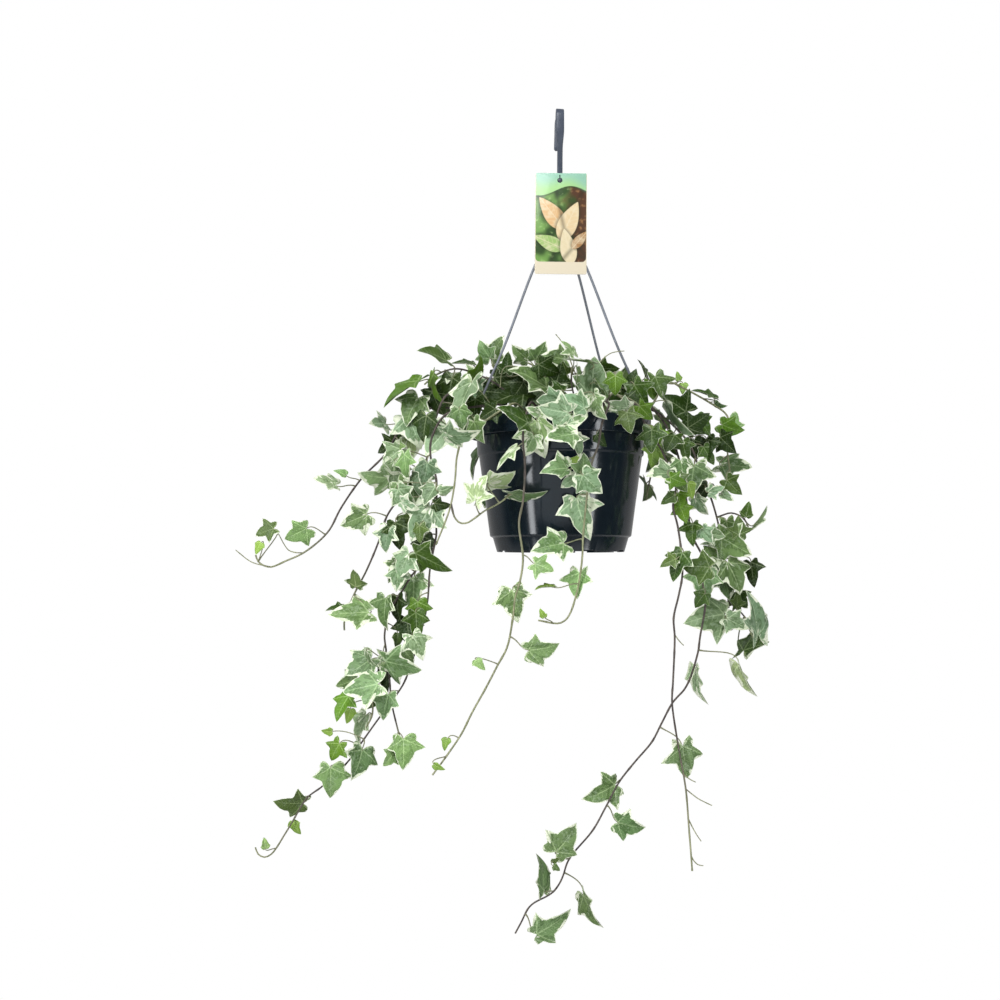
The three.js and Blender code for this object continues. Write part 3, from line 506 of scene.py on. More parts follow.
def tagPrint():
    t = tagLook
    look = Finish("tagPrint")
    back = tagSwing().inverted()
    x, _, z = look.split(look.place())
    across = x * (1000 * back[0][0]) + z * (1000 * back[0][2]) + back[0][3]
    up = z * (1000 * back[2][2]) + x * (1000 * back[2][0]) + back[2][3] + t["height"]
    spot = look.vector(across, up, 0.0)
    blur = look.speckle(spot, 0.05, 1)
    blurFine = look.speckle(spot, 0.13, 2)
    ground = look.mix(look.ease(blur, 0.4, 0.62), t["darkGreen"], t["midGreen"])
    woody = look.ease(across + (blur - 0.5) * 60, 0, 12)
    ground = look.mix(woody, ground, t["bark"])
    ground = look.mix(look.ease(blurFine, 0.52, 0.74) * woody * 0.7, ground, t["rust"])
    ground = look.mix(look.ease(blurFine, 0.55, 0.75) * (1 - woody) * 0.5, ground, t["sprig"])
    for leaf in t["leaves"]:
        mask, vein, shadow = leafPrint(look, across, up, leaf)
        tint = look.mix(look.ease(blurFine, 0.4, 0.65) * 0.5, leaf[5], t["printCream"])
        tint = look.mix(vein * 0.5, tint, t["printCream"])
        ground = look.mix(shadow * 0.6, ground, t["leafShadow"])
        ground = look.mix(mask, ground, tint)
    wave = (across * 0.1 + 0.6).maths("SINE") * 5 + t["waveHeight"]
    ground = look.mix(look.ease(up - wave, -3, 0.4) * 0.7, ground, t["waveShadow"])
    ground = look.mix(look.ease(up - wave, 0, 0.7), ground, t["waveGreen"])
    ground = look.mix(look.ease(up - wave + across * 0.2, 1, 15) * 0.85, ground, t["waveBlue"])
    corner = t["pictureCorner"]
    beyondX = (abs(across) - (t["width"] / 2 - 0.4 - corner)).maths("MAXIMUM", 0.0)
    beyondY = (t["bandTop"] + corner - up).maths("MAXIMUM", 0.0)
    inside = corner - (beyondX * beyondX + beyondY * beyondY) ** 0.5
    ground = look.mix(look.ease(inside, 0, 0.4), t["cream"], ground)
    return look.surface({"Base Color": ground, "Roughness": 0.3 + blurFine * 0.08, "IOR": 1.5,
                         "Coat Weight": 0.2})


def tagBlank():
    look = Finish("tagBlank")
    grain = look.speckle(look.place(), 700, 2)
    colour = look.mix(grain * 0.4, tagLook["blank"], tagLook["blankGrain"])
    return look.surface({"Base Color": colour, "Roughness": 0.4 + grain * 0.1})


def makeTag():
    t = tagLook
    mesh = bmesh.new()
    made = bmesh.ops.create_grid(mesh, x_segments=1, y_segments=1, size=0.5,
                                 matrix=Matrix.Diagonal((t["width"], t["height"], 1, 1)))["verts"]
    bmesh.ops.bevel(mesh, geom=made, offset=t["corner"], segments=6, profile=0.5, affect="VERTICES",
                    material=-1)
    bmesh.ops.translate(mesh, verts=mesh.verts[:], vec=(0, -t["height"] / 2, 0))
    upright = Matrix.Rotation(math.pi / 2, 3, "X")
    bmesh.ops.rotate(mesh, verts=mesh.verts[:], cent=(0, 0, 0), matrix=upright)
    bmesh.ops.translate(mesh, verts=mesh.verts[:], vec=(0, -t["setForward"], 0))
    shell = bmesh.ops.extrude_face_region(mesh, geom=mesh.faces[:])["geom"]
    front = [g for g in shell if isinstance(g, bmesh.types.BMVert)]
    bmesh.ops.translate(mesh, verts=front, vec=(0, -t["thickness"], 0))
    bmesh.ops.recalc_face_normals(mesh, faces=mesh.faces[:])
    sharp = [e for e in mesh.edges if e.calc_face_angle(0) > 1]
    rounded(mesh, [e for e in sharp if abs(e.verts[0].co.y - e.verts[1].co.y) < 0.1], t["rims"], 2)
    for face in mesh.faces:
        face.material_index = 0 if face.normal.y < -0.8 else 1
    bmesh.ops.transform(mesh, matrix=tagSwing(), verts=mesh.verts[:])
    tag = finished(mesh, "printed_tag", "plant_tag", [tagPrint(), tagBlank()])
    cutter = bmesh.new()
    peg = hangerLook["pegHeight"] - t["top"]
    hole = tagSwing() @ Matrix.Translation((-t["shift"], -2, peg)) @ Matrix.Rotation(math.pi / 2, 4, "X")
    addDisc(cutter, hole, (t["holeRadius"], t["holeRadius"]), 6, 36)
    slit = Matrix.Translation((-t["shift"], -2, peg + t["slitLift"]))
    addBox(cutter, tagSwing() @ slit, t["slit"])
    punchOut(tag, cutter)
    print("tag done")


def makeHanger():
    plastic = hangerPlastic("hookPlastic", hangerLook["plastic"])
    armPlastic = hangerPlastic("armPlastic", hangerLook["armPlastic"])
    makeHook(plastic)
    for side, angle in hangerLook["armAngles"].items():
        makeArm(side, angle, armPlastic)
    print("hanger done")


# Ivy. The routes and leaves are drawn on an upright sheet through the pot's axis, a metre square:
# mm from its left edge and mm down from its top, as seen from the eye.
ivyLook = {
    "sheetLeft": -560.5, "sheetTop": 108, "eye": (-60.5, -462), "eyeDistance": 1460,
    "soilTop": -323, "soilCrown": -320, "rootDepth": 18, "stemStep": 7,
    "stemRadius": (1.15, 0.85), "branchRadius": (0.9, 0.75), "twigRadius": (0.6, 0.45),
    "stalkRadius": (0.64, 0.52), "rimRadii": (82, 94), "solidBlade": 0.35, "bladeThickness": 0.5,
    "smallLeaf": 16, "tuckedIn": 9, "freeRoll": 20, "fuller": 1.05,
}


class Drawer:
    def __init__(self, seed):
        self.state = seed

    def __call__(self, low, high):
        self.state = (self.state * 1664525 + 1013904223) % 4294967296
        return low + (high - low) * self.state / 4294967296


# Centripetal curve through the points, extended straight past both ends
class Spline:
    def __init__(self, points):
        self.points = points
        spots = [self.at(k / 200) for k in range(201)]
        self.runs = [0.0]
        for one, other in zip(spots, spots[1:]):
            self.runs.append(self.runs[-1] + (other - one).length)

    def at(self, t):
        points, last = self.points, len(self.points) - 1
        k = min(int(last * t), last - 1)
        share = last * t - k
        one, two = points[k], points[k + 1]
        before = points[k - 1] if k else one * 2 - two
        after = points[k + 2] if k + 2 <= last else two * 2 - one
        gaps = [math.sqrt((b - a).length) for a, b in ((before, one), (one, two), (two, after))]
        start = ((one - before) / gaps[0] - (two - before) / (gaps[0] + gaps[1])
                 + (two - one) / gaps[1]) * gaps[1]
        end = ((two - one) / gaps[1] - (after - one) / (gaps[1] + gaps[2])
               + (after - two) / gaps[2]) * gaps[1]
        square = one * -3 + two * 3 - start * 2 - end
        cube = one * 2 - two * 2 + start + end
        return one + start * share + square * share ** 2 + cube * share ** 3

    def evenly(self, count):
        spots = []
        for k in range(count + 1):
            run = self.runs[-1] * k / count
            place = min(max(bisect.bisect_left(self.runs, run) - 1, 0), 199)
            step = self.runs[place + 1] - self.runs[place]
            spots.append(self.at((place + (run - self.runs[place]) / step) / 200))
        return spots


def fromSheet(across, down, depth):
    look = ivyLook
    spread = (look["eyeDistance"] + depth) / look["eyeDistance"]
    eyeX, eyeZ = look["eye"]
    x = eyeX + (across + look["sheetLeft"] - eyeX) * spread
    z = eyeZ + (look["sheetTop"] - down - eyeZ) * spread
    return Vector((x, depth, z))


def nearest(line, point):
    return min(range(len(line)), key=lambda k: (line[k] - point).length)


def centreLine(points, step):
    curve = Spline(points)
    return curve.evenly(max(3, math.floor(curve.runs[-1] / step + 0.5)))


def stemLines(stem):
    look = ivyLook
    points = [onRing(*stem["root"], look["soilCrown"] + 2)]
    if "rim" in stem:
        angle, height = stem["rim"]
        inner, outer = look["rimRadii"]
        points += [onRing(angle, inner, height), onRing(angle, outer, height - 1)]
    points += [fromSheet(*spot, stem["depth"]) for spot in stem["route"]]
    root = onRing(*stem["root"], look["soilTop"] - look["rootDepth"])
    lines = [[root] + centreLine(points, look["stemStep"])]
    for branch in stem.get("branches", []):
        lines.append(centreLine(sideRoute(lines[0], branch, stem["depth"]), look["stemStep"]))
    return lines


def sideRoute(main, spots, depth):
    route = [fromSheet(*spot, depth) for spot in spots]
    route[0] = main[nearest(main, route[0])]
    return route


# Leaf frames
def listedLeaf(spec, line, draw):
    across, down, length, heading, tone, *more = spec
    turn = more[0] if more else draw(-24, 24)
    lean = more[1] if len(more) > 1 else draw(-6, 26)
    h, p, r = math.radians(heading), math.radians(lean), math.radians(turn)
    tip = Vector((math.sin(h) * math.cos(p), -math.sin(p), -math.cos(h) * math.cos(p)))
    flat = Vector((math.cos(h), 0, math.sin(h)))
    facing = tip.cross(flat)
    side = flat * -math.cos(r) - facing * math.sin(r)
    normal = facing * math.cos(r) - flat * math.sin(r)
    near = line[nearest(line, fromSheet(across, down, line[-1].y))]
    middle = fromSheet(across, down, near.y + draw(-13, 7))
    bend = [draw(0.06, 0.3), draw(0.04, 0.22), draw(0, 0.16)]
    return {"base": middle - tip * (length / 2), "tip": tip, "side": side, "normal": normal,
            "length": length, "bend": bend, "tone": tone, "line": line, "spot": (across, down)}


def ruledLeaf(line, place, flip, size, draw):
    at = line[place]
    along = (at - line[place - 1]).normalized()
    out = Vector((at.x, at.y, 0)).normalized()
    out.z = draw(0.1, 0.9)
    out.normalize()
    beside = Vector((-out.y, out.x, 0)) * flip
    tip = along * 0.5 + beside * draw(0.3, 1.1)
    tip.z -= draw(0.2, 0.9)
    tip = (tip + out * (draw(-0.1, 0.5) - tip.dot(out))).normalized()
    normal = (out - tip * out.dot(tip)).normalized()
    length = size * draw(0.8, 1.15)
    base = at + beside * draw(6, 16) + out * draw(4, 14)
    bend = [draw(0.06, 0.3), draw(0.04, 0.22), draw(0, 0.16)]
    return {"base": base, "tip": tip, "side": tip.cross(normal), "normal": normal, "length": length,
            "bend": bend, "tone": "back", "line": line, "spot": "ruled"}


# The listed leaf, on the line that passes nearest to it
def leafOn(stem, lines, spec, draw):
    middle = fromSheet(spec[0], spec[1], stem["depth"])
    line = min(lines, key=lambda line: (line[nearest(line, middle)] - middle).length)
    return listedLeaf(spec, line, draw)


def leavesOf(stem, lines, draw):
    leaves = [leafOn(stem, lines, spec, draw) for spec in stem.get("leaves", [])]
    count, size = stem.get("ruled", (0, 0))
    for k in range(count):
        place = math.floor((len(lines[0]) - 1) * (0.3 + 0.7 * (k + 0.5) / count) + 0.5)
        leaves.append(ruledLeaf(lines[0], place, 1 if k % 2 else -1, size, draw))
    return leaves


# The depth in mm and turn in degrees by which the solid's leaf may have been shifted
shifts = [(0, 0), (-5, 0), (5, 0), (-10, 12), (10, -12), (-15, 0), (15, 0), (-20, 20), (20, -20),
          (-26, 0), (27, 0), (-33, 25)]


def shifted(leaf, depth, turn):
    swing = Matrix.Rotation(math.radians(turn), 3, leaf["tip"])
    moved = dict(leaf)
    moved["base"] = leaf["base"] + Vector((0, depth, 0))
    moved["side"] = swing @ leaf["side"]
    moved["normal"] = swing @ leaf["normal"]
    return moved


# The leaf rolled about its midrib, the way that takes it further from facing the eye
def rolled(leaf, turn):
    tries = [shifted(leaf, 0, turn), shifted(leaf, 0, -turn)]
    return max(tries, key=lambda tried: abs(tried["side"].y))


def onBlade(leaf, x, y, lift):
    fold, droop, cup = leaf["bend"]
    height = (fold * abs(x) - droop * y * y - cup * x * x) * leaf["length"] + lift
    return (leaf["base"] + leaf["side"] * (x * leaf["length"]) + leaf["tip"] * (y * leaf["length"])
            + leaf["normal"] * height)


# Corners of the solids' blades: two on the midrib and four on each half
ribSpots = ((0, 1), (0, 0.4))
lobeSpots = ((0.52, 0.22), (0.57, 0.27), (0.24, 0.42), (0.25, 0.44))
closeBy = 0.00005  # m


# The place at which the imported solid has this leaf, or None where it has none
def placedLeaf(leaf, corners):
    lift = ivyLook["solidBlade"]
    best, most = None, 0
    for shift in shifts:
        tried = shifted(leaf, *shift)
        spots = [onBlade(tried, x, y, side * lift) for x, y in ribSpots for side in (1, -1)]
        for x, y in lobeSpots:
            spots += [onBlade(tried, x, y, lift), onBlade(tried, -x, y, lift)]
        found = sum(corners.find(spot * mm)[2] < closeBy for spot in spots)
        if found > most:
            best, most = tried, found
    return best


# Stems: where each is rooted (angle, radius), where it clears the rim (angle, height), the depth it
# hangs at, its route, and its leaves: across, down, length, heading, tone, then turn and lean.
stems = [
    {
        "name": "ivy_stem_far_left", "fresh": 0.8, "root": (176, 58), "rim": (178, -300), "depth": -10,
        "route": [(430, 408), (402, 426), (386, 453), (361, 479), (341, 508), (328, 532), (305, 552),
            (286, 561), (270, 567), (259, 562), (256, 555)],
        "twigs": [
            [(270, 567), (252, 562), (236, 550)],
            [(305, 552), (290, 551), (277, 531)],
        ],
        "leaves": [(411, 410, 30, -32, "mid"), (415, 432, 33, 26, "pale"),
            (411, 447, 24, 5, "cream"), (396, 434, 23, -45, "shade", 50),
            (378, 423, 24, -88, "pale", 20, 58), (392, 457, 22, -50, "grey"),
            (325, 482, 22, -108, "pale", 35), (340, 472, 13, -120, "light", 30),
            (296, 534, 24, -62, "light"), (268, 532, 18, -75, "olive"), (259, 548, 12, -30, "lime")],
        "more": [(405, 440, 20, 20, "dark"), (386, 446, 18, -60, "shade"),
            (398, 452, 20, 0, "light", 55)],
    },
    {
        "name": "ivy_stem_left_outer", "root": (205, 58), "rim": (208, -301), "depth": -40,
        "route": [(449, 393), (434, 423), (429, 453), (416, 476), (401, 496), (387, 516), (379, 541),
            (366, 572), (357, 589), (352, 600), (345, 620), (345, 630)],
        "twigs": [
            [(446, 398), (462, 386), (478, 389), (493, 407)],
            [(445, 402), (462, 404), (478, 404), (493, 409)],
        ],
        "rolls": {(463, 403): 20, (350, 613): 35, (375, 477): 35},
        "leaves": [(463, 403, 41, -27, "pale", 16), (474, 410, 22, -8, "dark"),
            (375, 477, 31, -92, "creamy"), (404, 492, 22, 30, "mid"), (354, 520, 26, -65, "green"),
            (386, 540, 22, -15, "grey"), (356, 578, 20, 180, "dark", 178, 30),
            (350, 613, 37, -88, "green", 12), (334, 608, 16, -90, "dark", 40),
            (424, 428, 25, -10, "shade")],
        "more": [(405, 468, 26, 0, "light", 55), (394, 474, 24, 0, "grey"),
            (421, 484, 24, -5, "grey", 25), (413, 492, 22, 10, "mid"),
            (404, 518, 16, -90, "olive")],
    },
    {
        "name": "ivy_stem_left_inner", "root": (222, 60), "rim": (223, -303), "depth": -62,
        "route": [(446, 414), (431, 440), (431, 460), (436, 478), (436, 520), (436, 538), (429, 557),
            (413, 574), (403, 590), (389, 613), (385, 636), (386, 655), (374, 669), (373, 690),
            (373, 714), (367, 726)],
        "branches": [
            [(436, 538), (430, 570), (428, 599), (424, 621), (416, 650), (405, 681), (397, 694),
            (379, 718), (364, 739), (349, 760), (324, 784), (309, 795), (303, 804), (289, 828),
            (272, 852), (263, 853), (258, 844)],
            [(386, 655), (390, 676), (392, 700), (401, 738)],
        ],
        "rolls": {(434, 562): 28},
        "leaves": [(436, 440, 33, -40, "pale"), (430, 496, 21, -30, "grey"),
            (406, 499, 24, 38, "grey"), (446, 490, 15, 100, "pale"), (443, 505, 16, 80, "shade"),
            (421, 523, 36, -28, "grey", 10), (438, 519, 14, 10, "olive"), (420, 534, 16, 0, "olive"),
            (403, 565, 24, -30, "grey"), (434, 562, 37, 62, "dark", 20), (414, 594, 33, 0, "green", 8),
            (385, 613, 30, -10, "mid"), (417, 626, 26, 4, "dark"), (420, 645, 23, 32, "grey"),
            (404, 664, 34, 72, "green", 10), (360, 667, 28, -55, "green"),
            (373, 658, 18, 30, "grey", 60), (362, 686, 32, -80, "green", 12),
            (386, 706, 24, -14, "green"), (343, 706, 24, -30, "fresh"), (350, 715, 14, -10, "lime"),
            (328, 730, 10, -90, "lime"), (359, 729, 30, -28, "pale", 42), (336, 750, 18, -30, "fresh"),
            (360, 762, 28, -12, "mid"), (405, 751, 27, 5, "light"), (390, 757, 16, -40, "light"),
            (333, 779, 28, 0, "light"), (290, 802, 28, -90, "olive"), (298, 825, 14, 20, "lime"),
            (267, 840, 10, -170, "light")],
        "more": [(426, 474, 22, -5, "grey"), (410, 506, 20, 60, "pale", 40),
            (424, 548, 22, 5, "shade"), (396, 536, 26, 5, "shade"),
            (398, 580, 20, 0, "grey"), (394, 572, 22, -20, "mid"),
            (397, 610, 24, 0, "shade", 50), (418, 612, 20, 0, "fresh"),
            (408, 632, 24, 5, "shade"), (398, 640, 14, 0, "olive"),
            (386, 680, 22, 0, "shade", 50), (347, 682, 20, -70, "mid"),
            (409, 655, 16, 40, "mid"), (384, 662, 14, 0, "pale"),
            (372, 700, 18, -40, "dark")],
    },
    {
        "name": "ivy_stem_centre_left", "fresh": 0.15, "root": (238, 58), "rim": (238, -304), "depth": -82,
        "route": [(486, 420), (464, 436), (457, 456), (455, 480), (450, 508), (436, 545)],
        "branches": [
            [(452, 500), (455, 518), (463, 524), (472, 520), (486, 510), (498, 504), (511, 494)],
        ],
        "rolls": {(462, 438): 32},
        "leaves": [(462, 438, 30, 80, "grey"), (478, 433, 22, 20, "mid"),
            (480, 488, 24, 162, "cream"), (502, 478, 28, 105, "cream", 40),
            (528, 496, 33, 82, "mid", 72)],
        "more": [(461, 419, 20, 10, "mid"), (487, 412, 18, -60, "shade"),
            (470, 426, 18, 40, "dark")],
    },
    {
        "name": "ivy_stem_centre", "fresh": 0.42, "root": (253, 60), "rim": (250, -304), "depth": -103,
        "route": [(524, 424), (523, 440), (525, 466), (523, 501), (519, 523), (523, 559), (520, 581),
            (515, 598), (513, 616), (507, 647), (498, 664), (486, 687), (472, 712), (462, 732),
            (445, 757), (433, 773)],
        "rolls": {(514, 415): 38},
        "leaves": [(514, 415, 31, -120, "dark"), (541, 438, 34, 12, "creamy", 12),
            (529, 445, 20, -25, "creamy"), (533, 412, 14, -95, "creamy"),
            (505, 457, 26, -50, "creamy", 55), (516, 605, 29, 12, "mid"), (543, 648, 27, 97, "green"),
            (544, 567, 18, 70, "light"), (480, 663, 12, 40, "light"), (446, 743, 11, -20, "lime"),
            (440, 764, 11, 60, "lime")],
    },
    {
        "name": "ivy_shoot_front", "root": (272, 50), "rim": (270, -301), "depth": -104,
        "route": [(564, 412), (567, 424), (570, 436)],
        "leaves": [(572, 404, 25, -117, "grey", 10), (553, 412, 27, -97, "pale"),
            (576, 421, 20, 110, "creamy"), (559, 439, 27, -78, "green"), (599, 407, 24, 20, "creamy", 32),
            (548, 400, 20, -80, "grey"), (577, 445, 20, 15, "grey")],
    },
    {
        "name": "ivy_stem_centre_right", "fresh": 0.45, "root": (298, 60), "rim": (297, -303), "depth": -96,
        "route": [(602, 424), (598, 447), (593, 459), (590, 473), (586, 505), (583, 537), (582, 559),
            (576, 595), (567, 618), (559, 623), (538, 620)],
        "rolls": {(577, 585): 0, (581, 518): 6},
        "leaves": [(573, 461, 14, -100, "lime"), (583, 465, 20, 170, "mid"),
            (554, 469, 24, -90, "green"), (569, 482, 17, -60, "pale"), (591, 485, 24, 45, "grey"),
            (581, 518, 38, 11, "grey", 8), (549, 546, 30, -80, "mid"),
            (577, 585, 24, -14, "light", 35), (544, 587, 16, -90, "lime", 66),
            (542, 613, 9, -150, "lime"), (601, 440, 14, 30, "shade")],
    },
    {
        "name": "ivy_stem_right_long", "fresh": 0.85, "root": (317, 58), "rim": (318, -302), "depth": -60,
        "route": [(648, 430), (661, 448), (667, 462), (676, 486), (673, 507), (677, 523), (681, 551),
            (682, 575), (678, 596), (673, 618), (674, 636), (672, 682), (671, 701), (677, 745),
            (684, 786), (687, 825), (689, 852), (690, 867)],
        "twigs": [
            [(682, 774), (688, 777), (694, 780)],
            [(684, 786), (696, 796), (710, 803)],
            [(687, 819), (693, 829), (699, 838)],
            [(689, 850), (694, 860), (701, 862)],
            [(674, 633), (678, 640), (683, 645)],
        ],
        "leaves": [(659, 474, 24, -92, "grey"), (652, 441, 22, 0, "dark"),
            (653, 456, 20, -10, "lime"), (677, 482, 16, 60, "fresh"), (668, 499, 15, -60, "dark"),
            (680, 501, 16, 10, "fresh"), (676, 566, 28, -25, "dark"), (667, 562, 16, -70, "olive")],
        "more": [(657, 437, 16, 10, "fresh"), (672, 442, 20, -30, "dark"),
            (683, 470, 20, 10, "mid"), (681, 484, 18, 30, "olive"),
            (683, 514, 18, 20, "fresh")],
    },
    {
        "name": "ivy_stem_right_trailing", "fresh": 1.4, "root": (331, 60), "rim": (332, -300), "depth": -36,
        "route": [(668, 428), (682, 470), (688, 512), (692, 536), (702, 557), (702, 582), (705, 600),
            (699, 638), (697, 652), (685, 686), (672, 701), (660, 723), (651, 740), (633, 761),
            (618, 780), (605, 804), (592, 827), (568, 856), (561, 875), (552, 888), (530, 901),
            (521, 917), (515, 928)],
        "rolls": {(674, 423): 72, (589, 907): 35, (544, 872): 15, (744, 680): 12, (697, 686): 12},
        "leaves": [(674, 423, 40, 25, "grey", 16), (692, 534, 22, -5, "dark"),
            (695, 566, 26, -95, "olive"), (705, 586, 30, -10, "green"), (697, 686, 34, 5, "pale", 66),
            (744, 680, 34, 20, "cream", 68), (683, 760, 31, 8, "green"), (600, 791, 34, -62, "mid"),
            (629, 823, 25, 75, "mid"), (566, 834, 31, 137, "green"), (555, 855, 8, 120, "olive"),
            (556, 863, 8, 60, "olive"), (544, 872, 33, 178, "mid", 48), (589, 907, 34, 20, "mid", 34),
            (553, 920, 37, 116, "green")],
        "more": [(691, 490, 15, 20, "lime"), (706, 536, 16, 30, "grey"),
            (686, 450, 20, 10, "dark"), (700, 600, 16, -40, "dark")],
    },
    {
        "name": "ivy_stem_right_main", "root": (355, 58), "rim": (357, -302), "depth": -6,
        "route": [(684, 436), (693, 450), (702, 478), (711, 498), (719, 529), (719, 540), (724, 565),
            (727, 590), (728, 608)],
        "branches": [
            [(720, 519), (732, 513), (745, 520), (749, 531)],
            [(727, 604), (740, 612), (748, 622)],
        ],
        "leaves": [(699, 421, 24, 120, "shade"), (704, 430, 18, 60, "shade"),
            (674, 405, 26, -125, "shade"), (673, 448, 18, 10, "shade", 50), (692, 480, 32, -12, "mid"),
            (706, 469, 16, 80, "mid"), (708, 449, 22, 0, "shade"), (700, 507, 20, 30, "grey", 40),
            (715, 490, 16, 110, "grey"), (727, 497, 14, 60, "grey"), (734, 546, 32, 58, "mid"),
            (746, 510, 15, 168, "dark"), (761, 517, 23, 137, "grey", 72),
            (737, 526, 18, 178, "olive"), (715, 535, 16, 85, "grey"), (709, 545, 16, -110, "grey", 66),
            (718, 566, 22, 10, "mid", 48), (726, 585, 26, 20, "mid"),
            (736, 599, 16, 170, "olive"), (735, 577, 32, 28, "mid"), (753, 574, 24, 5, "shade"),
            (705, 616, 38, -84, "grey", 10), (750, 612, 42, -176, "grey", 40),
            (760, 636, 34, 152, "dark", 48), (732, 623, 22, 60, "grey")],
        "more": [
            (706, 424, 20, 40, "dark"), (697, 449, 20, 10, "shade"), (710, 455, 20, 30, "dark"),
            (704, 492, 18, -30, "shade"), (712, 555, 18, 20, "light"),
            (728, 530, 18, 10, "olive"), (722, 548, 16, -40, "dark"),
            (742, 600, 18, 30, "dark")],
    },
    {
        "name": "ivy_stem_right_arching", "fresh": 0.3, "root": (14, 56), "rim": (14, -296), "depth": 20,
        "route": [(668, 382), (685, 388), (700, 396), (715, 405), (727, 414), (731, 430), (728, 450),
            (731, 476)],
        "leaves": [(685, 387, 12, 0, "lime"), (703, 394, 23, -115, "dark", 50),
            (721, 405, 13, 60, "green", 55), (737, 418, 18, 165, "light"), (730, 431, 23, 65, "fresh"),
            (726, 446, 22, 40, "shade"), (738, 465, 30, 84, "mid"), (734, 487, 20, 40, "olive"),
            (678, 376, 9, -170, "lime")],
    },
    {
        "name": "ivy_shoot_left_high", "root": (196, 32), "depth": -8,
        "route": [(520, 408), (500, 386), (478, 374), (456, 368), (436, 374), (424, 384)],
        "rolls": {(401, 393): 30},
        "leaves": [(433, 353, 30, -112, "olive", 48), (401, 393, 43, -57, "fresh", 30),
            (463, 362, 22, -100, "dark", 62), (435, 389, 30, 3, "fresh", 66),
            (479, 370, 22, 148, "fresh", 50), (444, 376, 18, -85, "pale", 45),
            (450, 390, 26, -10, "shade"), (474, 388, 24, 30, "grey")],
        "more": [(436, 402, 24, 20, "shade"), (428, 398, 22, -30, "shade"),
            (460, 396, 22, -60, "dark"), (488, 400, 22, 20, "shade")],
    },
    {
        "name": "ivy_shoot_left_back", "root": (150, 30), "depth": 24,
        "route": [(514, 404), (502, 382), (492, 364)],
        "leaves": [(496, 346, 25, 155, "mid", -20), (484, 349, 20, -142, "green"),
            (507, 376, 26, 100, "shade"), (470, 380, 26, -70, "green"), (500, 395, 30, 20, "shade")],
    },
    {
        "name": "ivy_shoot_middle", "root": (262, 12), "depth": -16,
        "route": [(556, 408), (548, 386), (538, 368), (528, 362)],
        "twigs": [
            [(538, 368), (520, 366), (504, 367), (500, 387)],
        ],
        "rolls": {(505, 397): 35, (529, 377): 25},
        "leaves": [(520, 352, 20, -127, "mid"), (541, 350, 20, 145, "mid"),
            (529, 377, 40, -120, "mid", 26), (505, 397, 42, -72, "shade", 14),
            (553, 396, 21, -80, "dark"), (536, 402, 26, -30, "grey"), (548, 372, 22, 60, "shade")],
        "more": [(508, 360, 20, 170, "dark"), (518, 390, 22, -30, "shade"),
            (556, 372, 22, -100, "olive"), (555, 356, 24, -100, "mid"), (530, 404, 20, 60, "mid")],
    },
    {
        "name": "ivy_shoot_middle_right", "root": (302, 26), "depth": -44,
        "route": [(576, 408), (582, 394), (589, 386)],
        "branches": [
            [(576, 408), (572, 384), (572, 366)],
        ],
        "twigs": [
            [(589, 386), (600, 362), (612, 352), (625, 350)],
            [(582, 394), (573, 366), (565, 345), (556, 333)],
        ],
        "rolls": {(593, 377): 0, (603, 392): 55, (576, 378): 50},
        "leaves": [(593, 377, 38, 171, "grey", 10), (569, 346, 17, -150, "creamy", 36),
            (578, 362, 28, -104, "grey", 48), (576, 378, 18, 0, "green"), (603, 392, 22, 40, "mid")],
        "more": [(560, 372, 20, 160, "shade"), (600, 380, 20, -30, "dark"),
            (588, 402, 20, 30, "shade")],
    },
    {
        "name": "ivy_shoot_right_front", "root": (325, 38), "depth": -58,
        "route": [(606, 402), (615, 391), (621, 391)],
        "leaves": [(616, 408, 22, -95, "pale"), (626, 425, 20, 8, "olive"), (614, 388, 18, 2, "fresh"),
            (617, 371, 18, 60, "mid", 46), (646, 413, 18, 45, "fresh"), (638, 401, 22, 70, "shade")],
    },
    {
        "name": "ivy_shoot_right", "root": (350, 34), "depth": -10,
        "route": [(602, 404), (622, 386), (640, 382), (656, 380)],
        "leaves": [(632, 380, 20, 178, "shade"), (658, 388, 22, 20, "olive"),
            (656, 366, 24, -133, "mid", 48), (643, 367, 18, -162, "dark", 68),
            (640, 396, 24, 30, "dark"), (612, 396, 22, -60, "dark")],
        "more": [(610, 367, 20, 80, "dark", 50), (652, 390, 18, 10, "fresh"),
            (628, 398, 20, -20, "shade")],
    },
    {
        "name": "ivy_shoot_back_left", "root": (128, 42), "depth": 58,
        "route": [(520, 408), (500, 392), (478, 388), (462, 400)],
        "ruled": (4, 29),
    },
    {
        "name": "ivy_shoot_back", "root": (92, 40), "depth": 66,
        "route": [(552, 404), (548, 386), (544, 380), (538, 392)],
        "ruled": (4, 29),
    },
    {
        "name": "ivy_shoot_back_right", "root": (62, 42), "depth": 62,
        "route": [(582, 402), (600, 386), (618, 384), (632, 398)],
        "ruled": (4, 29),
    },
    {
        "name": "ivy_stem_back_left", "root": (140, 60), "rim": (140, -302), "depth": 66,
        "route": [(496, 434), (498, 470), (504, 505), (510, 530)],
        "rolls": {"ruled": 60},
        "ruled": (5, 30),
    },
    {
        "name": "ivy_stem_back_middle", "root": (108, 62), "rim": (108, -302), "depth": 100,
        "route": [(532, 430), (534, 462), (530, 500), (538, 534)],
        "ruled": (5, 30),
    },
    {
        "name": "ivy_stem_back_right", "root": (76, 62), "rim": (76, -302), "depth": 98,
        "route": [(582, 430), (586, 466), (590, 496), (584, 524)],
        "ruled": (4, 30),
    },
    {
        "name": "ivy_stem_back_side", "root": (32, 60), "rim": (30, -301), "depth": 54,
        "route": [(650, 430), (656, 452), (650, 480), (646, 500)],
        "ruled": (4, 30),
    },
]


